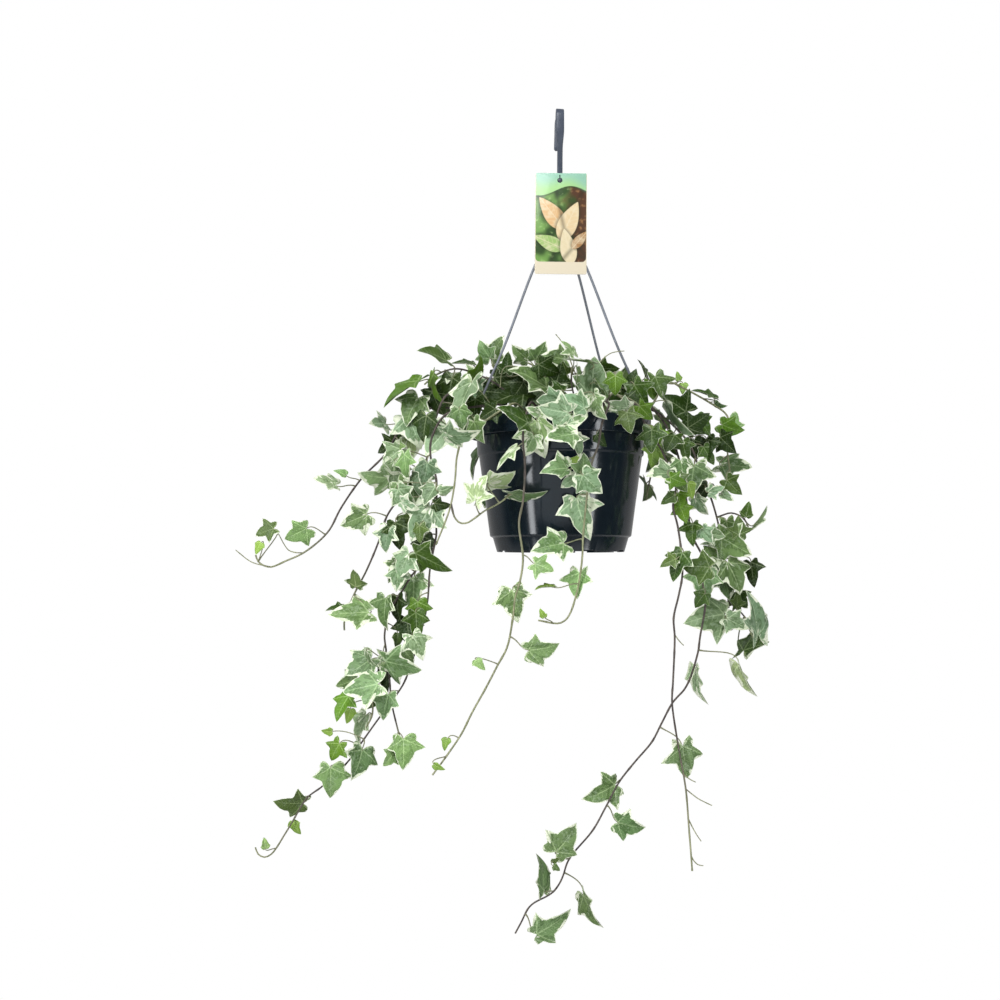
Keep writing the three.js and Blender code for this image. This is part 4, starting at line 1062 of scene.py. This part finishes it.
# Where on its stem a leaf is joined, and the way in which its stalk leaves there
def joined(leaf):
    line, base = leaf["line"], leaf["base"]
    place = min(max(nearest(line, base) - 1, 2), len(line) - 1)
    while place > 2 and (line[place] - base).length < 5:
        place -= 1
    along = (line[place] - line[place - 1]).normalized()
    stalk = base - line[place]
    return line[place], (stalk - along * (0.7 * stalk.dot(along))).normalized()


# Blades: half an outline for a midrib of length 1, from the notch round to the tip
bladeOutlines = {
    "broad": [(0, 0), (0.09, -0.12), (0.19, -0.195), (0.30, -0.215), (0.38, -0.16), (0.415, -0.07),
              (0.395, 0.055), (0.49, 0.15), (0.60, 0.25), (0.665, 0.315), (0.53, 0.38), (0.40, 0.415),
              (0.335, 0.46), (0.30, 0.61), (0.21, 0.765), (0.10, 0.90), (0, 1)],
    "maple": [(0, 0), (0.09, -0.145), (0.19, -0.23), (0.325, -0.285), (0.385, -0.14), (0.36, 0.05),
              (0.53, 0.17), (0.64, 0.25), (0.745, 0.375), (0.585, 0.425), (0.455, 0.435),
              (0.33, 0.48), (0.30, 0.61), (0.21, 0.765), (0.12, 0.90), (0, 1)],
    "slim": [(0, 0), (0.08, -0.09), (0.20, -0.15), (0.32, -0.11), (0.325, 0.05), (0.475, 0.145),
             (0.60, 0.285), (0.435, 0.335), (0.26, 0.405), (0.24, 0.61), (0.17, 0.77), (0.08, 0.91), (0, 1)],
    "young": [(0, 0), (0.10, -0.07), (0.20, -0.09), (0.31, -0.02), (0.37, 0.05), (0.47, 0.22),
              (0.37, 0.34), (0.29, 0.5), (0.23, 0.69), (0.12, 0.88), (0, 1)],
}
bladeVeins = [(0.0, 1.0), (0.885, 0.466), (0.80, -0.60)]  # one side's headings from the notch
bladeCuts = {"across": (-0.2, 0.2), "along": (0.05, 0.31, 0.61), "border": 0.022}


def outlineGap(x, y, outline):
    spot, gap = Vector((abs(x), y)), 9.0
    for one, other in zip(outline, outline[1:]):
        a, b = Vector(one), Vector(other)
        share = min(1, max(0, (spot - a).dot(b - a) / (b - a).length_squared))
        gap = min(gap, (spot - a - (b - a) * share).length)
    return gap


# A blade of a few dozen faces: both sides share their rim, and a narrow border runs round the top
def bladeTemplate(name):
    outline = bladeOutlines[name]
    mesh = bmesh.new()
    mesh.faces.new([mesh.verts.new((x, y, 0)) for x, y in outline])
    bmesh.ops.mirror(mesh, geom=mesh.verts[:] + mesh.edges[:] + mesh.faces[:], axis="X",
                     matrix=Matrix.Identity(4), merge_dist=1e-4)
    bmesh.ops.recalc_face_normals(mesh, faces=mesh.faces[:])
    for x in bladeCuts["across"]:
        cutAcross(mesh, (x, 0, 0), (1, 0, 0))
    for y in bladeCuts["along"]:
        cutAcross(mesh, (0, y, 0), (0, 1, 0))
    if sum(face.normal.z for face in mesh.faces) < 0:
        bmesh.ops.reverse_faces(mesh, faces=mesh.faces[:])
    copy = bmesh.ops.duplicate(mesh, geom=mesh.faces[:])["geom"]
    under = [g for g in copy if isinstance(g, bmesh.types.BMFace)]
    bmesh.ops.reverse_faces(mesh, faces=under)
    top = list(set(mesh.faces) - set(under))
    bmesh.ops.inset_region(mesh, faces=top, thickness=bladeCuts["border"], use_boundary=True,
                           use_even_offset=True)
    underside = {vert for face in under for vert in face.verts}
    for vert in mesh.verts:
        if not vert.is_boundary:
            vert.co.z = -0.5 if vert in underside else 0.5
    bmesh.ops.remove_doubles(mesh, verts=mesh.verts[:], dist=1e-4)
    blade = mesh.verts.layers.float_vector.new("blade")
    for vert in mesh.verts:
        vert[blade] = (vert.co.x, vert.co.y, outlineGap(vert.co.x, vert.co.y, outline))
    data = bpy.data.meshes.new("blade_" + name)
    mesh.to_mesh(data)
    mesh.free()
    return data


def cutAcross(mesh, spot, normal):
    geom = mesh.verts[:] + mesh.edges[:] + mesh.faces[:]
    bmesh.ops.bisect_plane(mesh, geom=geom, plane_co=spot, plane_no=normal, dist=0.015)


# Leaf colours: the middle, the cream's share of the blade, the blotches' strength. A tone is partly the
# leaf's own green and partly painted light and shade for where it hangs: 'shade' and 'dark' are darkened as
# painted shade for leaves deep in the crown.
leafTones = {
    # painted shade: 'shade' and 'dark' are darker than the leaves' own green, standing for the shade deep in
    # the crown
    "shade": ((0.016, 0.037, 0.002), 0.08, 0.35),
    "dark": ((0.036, 0.079, 0.007), 0.22, 0.6),
    "olive": ((0.072, 0.120, 0.024), 0.24, 0.55),
    "mid": ((0.112, 0.188, 0.062), 0.50, 0.9),
    "green": ((0.150, 0.244, 0.092), 0.47, 0.9),
    "grey": ((0.170, 0.256, 0.130), 0.56, 1.0),
    "light": ((0.188, 0.300, 0.098), 0.33, 0.7),
    "pale": ((0.226, 0.325, 0.172), 0.78, 1.0),
    "creamy": ((0.200, 0.310, 0.125), 1.0, 0.9),
    "cream": ((0.390, 0.500, 0.230), 0.96, 0.7),
    "fresh": ((0.092, 0.190, 0.012), 0.14, 0.35),
    "lime": ((0.195, 0.320, 0.050), 0.18, 0.3),
    "back": ((0.068, 0.130, 0.040), 0.40, 0.8),
}


# How far a leaf may differ from its blade: light and warmth of its green, the width of its cream,
# the height of its waves, and how skew, uneven, swept and curled it is
leafVariety = {
    "shade": (0.82, 1.2), "warm": (-0.06, 0.06), "cream": (0.7, 1.35), "ripple": (0.012, 0.032),
    "skew": (-0.10, 0.10), "uneven": (-0.12, 0.12), "sweep": (-0.10, 0.12), "curl": (-0.2, 0.8),
    "lobe": (-0.4, 0.85),
}


# Adds one leaf: the blade bent and put in its place, then its stalk
def addLeaf(mesh, leaf, templates, layers, draw):
    look, vary = ivyLook, leafVariety
    leaf = dict(leaf, length=leaf["length"] * look["fuller"])
    length = leaf["length"]
    kind = draw(0, 1)
    name = "slim" if kind < 0.2 else ("maple" if kind < 0.5 else "broad")
    name = "young" if length < look["smallLeaf"] else name
    before = len(mesh.verts)
    mesh.from_mesh(templates[name])
    mesh.verts.ensure_lookup_table()
    middle, cream, blotch = leafTones[leaf["tone"]]
    shade = draw(*vary["shade"])
    warm = draw(*vary["warm"])
    tint = (middle[0] * shade * (1 + warm), middle[1] * shade, middle[2] * shade * (1 - warm),
            min(1, cream * draw(*vary["cream"])))
    seed, phase, ripple = draw(0, 1), draw(0, 6.3), draw(*vary["ripple"])
    skew, uneven, sweepBack, curl = (draw(*vary[key]) for key in ("skew", "uneven", "sweep", "curl"))
    lobeBends = (draw(*vary["lobe"]), draw(*vary["lobe"]))
    for vert in mesh.verts[before:]:
        x, y, gap = vert[layers["blade"]]
        side = vert.co.z
        puff = ridgeGap(x, y) * 0.2
        wave = ripple * math.sin(8 * math.atan2(x, y + 0.1) + phase) * max(0, 1 - gap / 0.14)
        hook = curl * max(0, y - 0.55) ** 2 + lobeBends[0 if x > 0 else 1] * max(0, abs(x) - 0.22) ** 2
        lift = (puff + wave - hook) * length + side * look["bladeThickness"]
        wide = x * (1 + uneven * (1 if x > 0 else -1)) + skew * y * abs(y)
        vert.co = onBlade(leaf, wide, y + sweepBack * abs(x) * max(0, y + 0.1), lift)
        vert[layers["kind"]] = (seed, blotch, 1.0 if side < 0 else 0.0)
        vert[layers["tint"]] = tint
    push = boxed([vert.co for vert in mesh.verts[before:]])
    bmesh.ops.translate(mesh, verts=mesh.verts[before:], vec=push)
    addStalk(mesh, dict(leaf, base=leaf["base"] + push), layers, seed)


# The stalk, in a curve from the notch of the blade to the stem
def addStalk(mesh, leaf, layers, seed):
    look = ivyLook
    node, leave = joined(leaf)
    reach = (node - leaf["base"]).length
    away = leaf["base"] - leaf["tip"] * (0.36 * reach) - leaf["normal"] * (0.1 * reach)
    steps = 6 if reach < 14 else 9
    curve = [leaf["base"] + leaf["tip"] * 0.8, leaf["base"], away, node + leave * (0.42 * reach), node]
    path = [curve[0]]
    for k in range(steps + 1):
        t = k / steps
        path.append(curve[1] * (1 - t) ** 3 + curve[2] * (3 * t * (1 - t) ** 2)
                    + curve[3] * (3 * t * t * (1 - t)) + curve[4] * t ** 3)
    thick, thin = look["stalkRadius"]
    size = 0.75 + 0.25 * min(1, leaf["length"] / 30)

    def stalk(t):
        radius = size * (thin + (thick - thin) * t) * (1 + 0.5 * max(0, 1 - (1 - t) * 7))
        return radius, radius

    fresh, aged = (0.12, 0.32) if leaf["tone"] in ("shade", "dark", "back") else (0.08, 0.24)
    sweep(mesh, path, stalk, 6, layer=layers["bark"], material=1,
          values=lambda t: (fresh + (aged - fresh) * t, seed, 1.0))


# The way by which the spots must go to lie within the CAD box
def boxed(spots):
    push = Vector()
    for axis in range(3):
        low, high = (corner[axis] / mm for corner in cadBox)
        push[axis] += max(0, low + 0.4 - min(spot[axis] for spot in spots))
        push[axis] -= max(0, max(spot[axis] for spot in spots) - high + 0.4)
    return push


# How far a spot of the blade is from the nearest main vein, capped
def ridgeGap(x, y):
    gap = 0.14
    for dx, dy in bladeVeins:
        along = abs(x) * dx + y * dy
        if along > 0:
            gap = min(gap, abs(abs(x) * dy - y * dx))
    return gap


def growStem(stem, order, templates, materials):
    look = ivyLook
    node = nodes[stem["name"]]
    corners = KDTree(len(node.data.vertices))
    for k, vert in enumerate(node.data.vertices):
        corners.insert(vert.co, k)
    corners.balance()
    lines = stemLines(stem)
    mesh = bmesh.new()
    layers = {
        "blade": mesh.verts.layers.float_vector.new("blade"),
        "kind": mesh.verts.layers.float_vector.new("kind"),
        "bark": mesh.verts.layers.float_vector.new("bark"),
        "tint": mesh.verts.layers.float_color.new("tint"),
    }
    draw = Drawer(1000 + 77 * order)
    extra = Drawer(5000 + 77 * order)
    kept = 0
    for leaf in leavesOf(stem, lines, draw):
        leaf = placedLeaf(leaf, corners)
        if leaf:
            roll = stem.get("rolls", {}).get(leaf["spot"], extra(0, look["freeRoll"]))
            addLeaf(mesh, rolled(leaf, roll), templates, layers, extra)
            kept += 1
    for spec in stem.get("more", []):
        leaf = leafOn(stem, lines, spec, extra)
        leaf["base"].y += look["tuckedIn"] if spec[4] in ("shade", "dark") else 0
        addLeaf(mesh, leaf, templates, layers, extra)
        kept += 1
    for k, line in enumerate(lines):
        thick, thin = look["branchRadius"] if k else look["stemRadius"]
        addStem(mesh, line, thick, thin, layers, stem.get("fresh", 0.88), extra(0, 1), 8)
    for twig in stem.get("twigs", []):
        line = centreLine(sideRoute(lines[0], twig, stem["depth"]), look["stemStep"])
        addStem(mesh, line, *look["twigRadius"], layers, 0.1, extra(0, 1), 6)
    finished(mesh, stem["name"].replace("ivy_", "leafy_"), stem["name"], materials, 50)
    return kept


# A stem that is thicker at its nodes, with brown bark that turns green at the fresh share of its run
def addStem(mesh, line, thick, thin, layers, fresh, seed, sides):
    count = max(6, len(line) * 2)
    path = Spline(line).evenly(count)

    def size(t):
        swell = max(0, math.sin(t * len(line) * 1.3 + seed * 9)) ** 12
        radius = (thick + (thin - thick) * t) * (1 + 0.22 * swell)
        return radius, radius

    def bark(t):
        return (min(1, max(0, 0.3 + (fresh - t) * 1.7)), seed, 0.0)

    sweep(mesh, path, size, sides, layer=layers["bark"], values=bark, material=1)


# Colours of the blade over its tone's green; the light ones are factors
bladeLook = {
    "blotch": (0.34, 0.42, 0.26), "silver": (0.46, 0.55, 0.40), "cream": (0.71, 0.73, 0.57),
    "creamShade": (0.54, 0.60, 0.41), "vein": (0.62, 0.70, 0.42), "veinLight": (1.75, 1.65, 1.85),
    "netLight": (1.35, 1.3, 1.35), "beneath": (0.22, 0.30, 0.10), "veinBeneath": (0.50, 0.55, 0.28),
    "veinWidths": (0.018, 0.013), "mainVein": 0.85, "sideVein": 0.35, "ground": 0.66, "gloss": 0.27,
}


def leafBlade():
    b = bladeLook
    look = Finish("leafBlade")
    x, y, gap = look.split(look.attribute("blade")("Vector"))
    seed, blotch, under = look.split(look.attribute("kind")("Vector"))
    tint = look.attribute("tint")
    middle, cream = tint("Color"), tint("Alpha")
    side = abs(x)
    spot = look.vector(x + seed * 37, y + seed * 61, seed * 13)
    soft = look.speckle(spot, 3.4, 2)
    fine = look.speckle(spot, 13, 3, 0.65)
    angle = x.maths("ARCTAN2", y + 0.16)
    reach = (x * x + (y + 0.1) * (y + 0.1)) ** 0.5
    rays = look.speckle(look.vector(angle * 2.2 + seed * 19, reach * 1.1, seed * 41), 1.7, 2, 0.5)

    # Veins from the notch to each lobe, and their side veins
    veins = []
    for dx, dy in bladeVeins:
        along = side * dx + y * dy
        off = abs(side * dy - y * dx + (soft - 0.5) * 0.03)
        width = b["veinWidths"][0] - look.ease(along, 0, 1) * b["veinWidths"][1]
        line = (1 - look.ease(off / width, 0.35, 1.7)) * look.ease(along, -0.02, 0.02)
        feather = (along * 7.5 - off * 6).maths("PINGPONG", 0.5)
        twig = (1 - look.ease(feather, 0.03, 0.13)) * (1 - look.ease(off, 0.09, 0.17))
        veins.append((line, twig * look.ease(along, 0.05, 0.12)))
    mainVein = veins[0][0].maths("MAXIMUM", veins[1][0]).maths("MAXIMUM", veins[2][0])
    sideVein = veins[0][1].maths("MAXIMUM", veins[1][1]).maths("MAXIMUM", veins[2][1])
    net = 1 - look.ease(look.cells(spot, 17, "DISTANCE_TO_EDGE"), 0.02, 0.12)

    # Blotches of deeper and of silvery green, and the cream margin
    patch = look.ease(rays * 0.6 + soft * 0.4, 0.475, 0.53) * blotch
    silver = look.ease(soft * 0.5 + fine * 0.5, 0.52, 0.6) * blotch
    green = look.mix(patch * b["ground"], middle, look.mix(1.0, middle, b["blotch"], "MULTIPLY"))
    green = look.mix(silver * 0.42, green, look.mix(0.5, middle, b["silver"]))
    width = cream * cream * (0.016 + look.ease(rays, 0.42, 0.68) * 0.30) + cream * 0.013
    ragged = gap + (fine - 0.5) * 0.05 * cream
    margin = 1 - look.ease(ragged / (width + 0.003), 0.8, 1.15)
    edgeCream = look.mix(look.ease(soft, 0.4, 0.65), b["cream"], b["creamShade"])
    colour = look.mix(margin * look.ease(cream, 0.08, 0.25), green, edgeCream)
    veinTint = look.mix(0.2, look.scaled(green, b["veinLight"]), b["vein"])
    colour = look.mix(mainVein * b["mainVein"] + sideVein * b["sideVein"], colour, veinTint)
    colour = look.mix(net * 0.25, colour, look.scaled(colour, b["netLight"]))
    beneath = look.mix(0.5, colour, b["beneath"])
    beneath = look.mix(mainVein * 0.45, beneath, b["veinBeneath"])
    colour = look.mix(under, colour, beneath)
    rough = 0.38 + fine * 0.12 + under * 0.16
    height = (1 - mainVein) * 0.6 - sideVein * 0.2 + soft * 0.5 + fine * 0.1
    return look.surface({
        "Base Color": colour, "Roughness": rough, "IOR": 1.42, "Specular IOR Level": b["gloss"],
        "Normal": look.relief(height, 0.00035, 0.5),
    })


barkLook = {
    "brown": ((0.036, 0.026, 0.023), (0.105, 0.082, 0.063)),
    "green": ((0.155, 0.165, 0.080), (0.32, 0.32, 0.18)), "knot": (0.20, 0.15, 0.11),
}


def stemBark():
    look = Finish("stemBark")
    age, seed, stalk = look.split(look.attribute("bark")("Vector"))
    place = look.place()
    streak = look.speckle(look.scaled(place, (700, 700, 160)), 1, 3)
    knots = look.cells(place, 360)
    brown = look.mix(look.ease(streak, 0.35, 0.7), *barkLook["brown"])
    green = look.mix(look.ease(streak, 0.35, 0.7), *barkLook["green"])
    colour = look.mix(look.ease(age + (streak - 0.5) * 0.35, 0.1, 0.5), green, brown)
    colour = look.mix((1 - look.ease(knots, 0.06, 0.16)) * 0.5, colour, barkLook["knot"])
    return look.surface({
        "Base Color": colour, "Roughness": 0.52 + streak * 0.15,
        "Normal": look.relief(streak - look.ease(knots, 0.06, 0.16) * 0.4, 0.0003, 0.6),
    })


def makeIvy():
    templates = {name: bladeTemplate(name) for name in bladeOutlines}
    materials = [leafBlade(), stemBark()]
    total = 0
    for order, stem in enumerate(stems):
        total += growStem(stem, order, templates, materials)
    print("ivy done:", total, "leaves")


# Stage: camera as the photograph, soft light from all round with two tall side lights
stageLook = {
    "eye": (-60.5, -1460, -462), "pitch": 2.745, "lens": 52.6, "sensor": 36,
    "floorHeight": -1.9, "floorRadius": 3.3, "floorSolid": 0.8, "floorTint": (0.92, 0.92, 0.92),
    "surround": 0.25, "reflected": (0.05, 0.4), "lampTint": (0.94, 0.97, 1.0), "frontTint": (0.87, 0.94, 1.0),
    "lampAway": 1.9, "lampHeight": -0.6, "lampWidth": 0.30, "lampTall": 1.8,
    "lamps": (("sideLightLeft", -48.5, 17), ("sideLightRight", 46, 15)),
    "topPower": 62, "topSpot": (-0.7, -1.5, 1.3), "topSize": 1.6, "frontPower": 36,
    "frontSpot": (-0.3, -4.5, -1.5), "frontSize": (6.4, 1.8), "wallEdge": (0.08, 0.4),
}


def areaLight(name, spot, target, width, height, power, tint):
    lamp = bpy.data.lights.new(name, "AREA")
    lamp.shape = "RECTANGLE"
    lamp.size, lamp.size_y = width, height
    lamp.energy = power
    lamp.color = tint
    made = bpy.data.objects.new(name, lamp)
    made.location = spot
    made.rotation_euler = (Vector(target) - Vector(spot)).to_track_quat("-Z", "Y").to_euler()
    bpy.context.scene.collection.objects.link(made)


# White backdrop, dimmer as light, and mirrored as a dark room in front of a white wall
def makeSurround():
    s = stageLook
    world = bpy.data.worlds.new("surround")
    world.use_nodes = True
    tree = world.node_tree
    rays = tree.nodes.new("ShaderNodeLightPath").outputs
    way = tree.nodes.new("ShaderNodeSeparateXYZ")
    tree.links.new(tree.nodes.new("ShaderNodeTexCoord").outputs["Generated"], way.inputs[0])
    wall = tree.nodes.new("ShaderNodeMapRange")
    wall.interpolation_type = "SMOOTHSTEP"
    tree.links.new(way.outputs["Y"], wall.inputs["Value"])
    for key, value in zip(("From Min", "From Max", "To Min", "To Max"), (*s["wallEdge"], *s["reflected"])):
        wall.inputs[key].default_value = value
    mirrored = tree.nodes.new("ShaderNodeMix")
    tree.links.new(rays["Is Glossy Ray"], mirrored.inputs[0])
    mirrored.inputs[2].default_value = s["surround"]
    tree.links.new(wall.outputs[0], mirrored.inputs[3])
    seen = tree.nodes.new("ShaderNodeMix")
    tree.links.new(rays["Is Camera Ray"], seen.inputs[0])
    tree.links.new(mirrored.outputs[0], seen.inputs[2])
    seen.inputs[3].default_value = 1
    tree.nodes["Background"].inputs["Color"].default_value = (1, 1, 1, 1)
    tree.links.new(seen.outputs[0], tree.nodes["Background"].inputs["Strength"])
    return world


# Pale round floor that fades out
def makeFloor():
    s = stageLook
    mesh = bmesh.new()
    bmesh.ops.create_circle(mesh, cap_ends=True, segments=96, radius=s["floorRadius"],
                            matrix=Matrix.Translation((0, 0, s["floorHeight"])))
    data = bpy.data.meshes.new("floor")
    mesh.to_mesh(data)
    mesh.free()
    look = Finish("floorPaper")
    x, y, _ = look.split(look.place())
    fade = 1 - look.ease((x * x + y * y) ** 0.5, s["floorSolid"], s["floorRadius"])
    sockets = {"Base Color": (*s["floorTint"], 1), "Roughness": 0.9, "Alpha": fade}
    data.materials.append(look.surface(sockets))
    floor = bpy.data.objects.new("floor", data)
    bpy.context.scene.collection.objects.link(floor)


def makeStage():
    s = stageLook
    scene = bpy.context.scene
    camera = bpy.data.cameras.new("camera")
    camera.lens, camera.sensor_width = s["lens"], s["sensor"]
    eye = bpy.data.objects.new("camera", camera)
    eye.location = Vector(s["eye"]) * mm
    eye.rotation_euler = (math.radians(90 + s["pitch"]), 0, 0)
    scene.collection.objects.link(eye)
    scene.camera = eye
    scene.view_settings.view_transform = "Standard"
    scene.world = makeSurround()
    for name, turn, power in s["lamps"]:
        spot = onRing(turn - 90, s["lampAway"], s["lampHeight"])
        areaLight(name, spot, (0, 0, s["lampHeight"]), s["lampWidth"], s["lampTall"], power, s["lampTint"])
    areaLight("topLight", s["topSpot"], (0, 0, -0.4), s["topSize"], s["topSize"], s["topPower"],
              s["lampTint"])
    areaLight("frontLight", s["frontSpot"], (0, 0, -0.5), *s["frontSize"], s["frontPower"],
              s["frontTint"])
    makeFloor()


makePot()
makeSoil()
makeHanger()
makeTag()
makeIvy()
makeStage()

print("stage done")
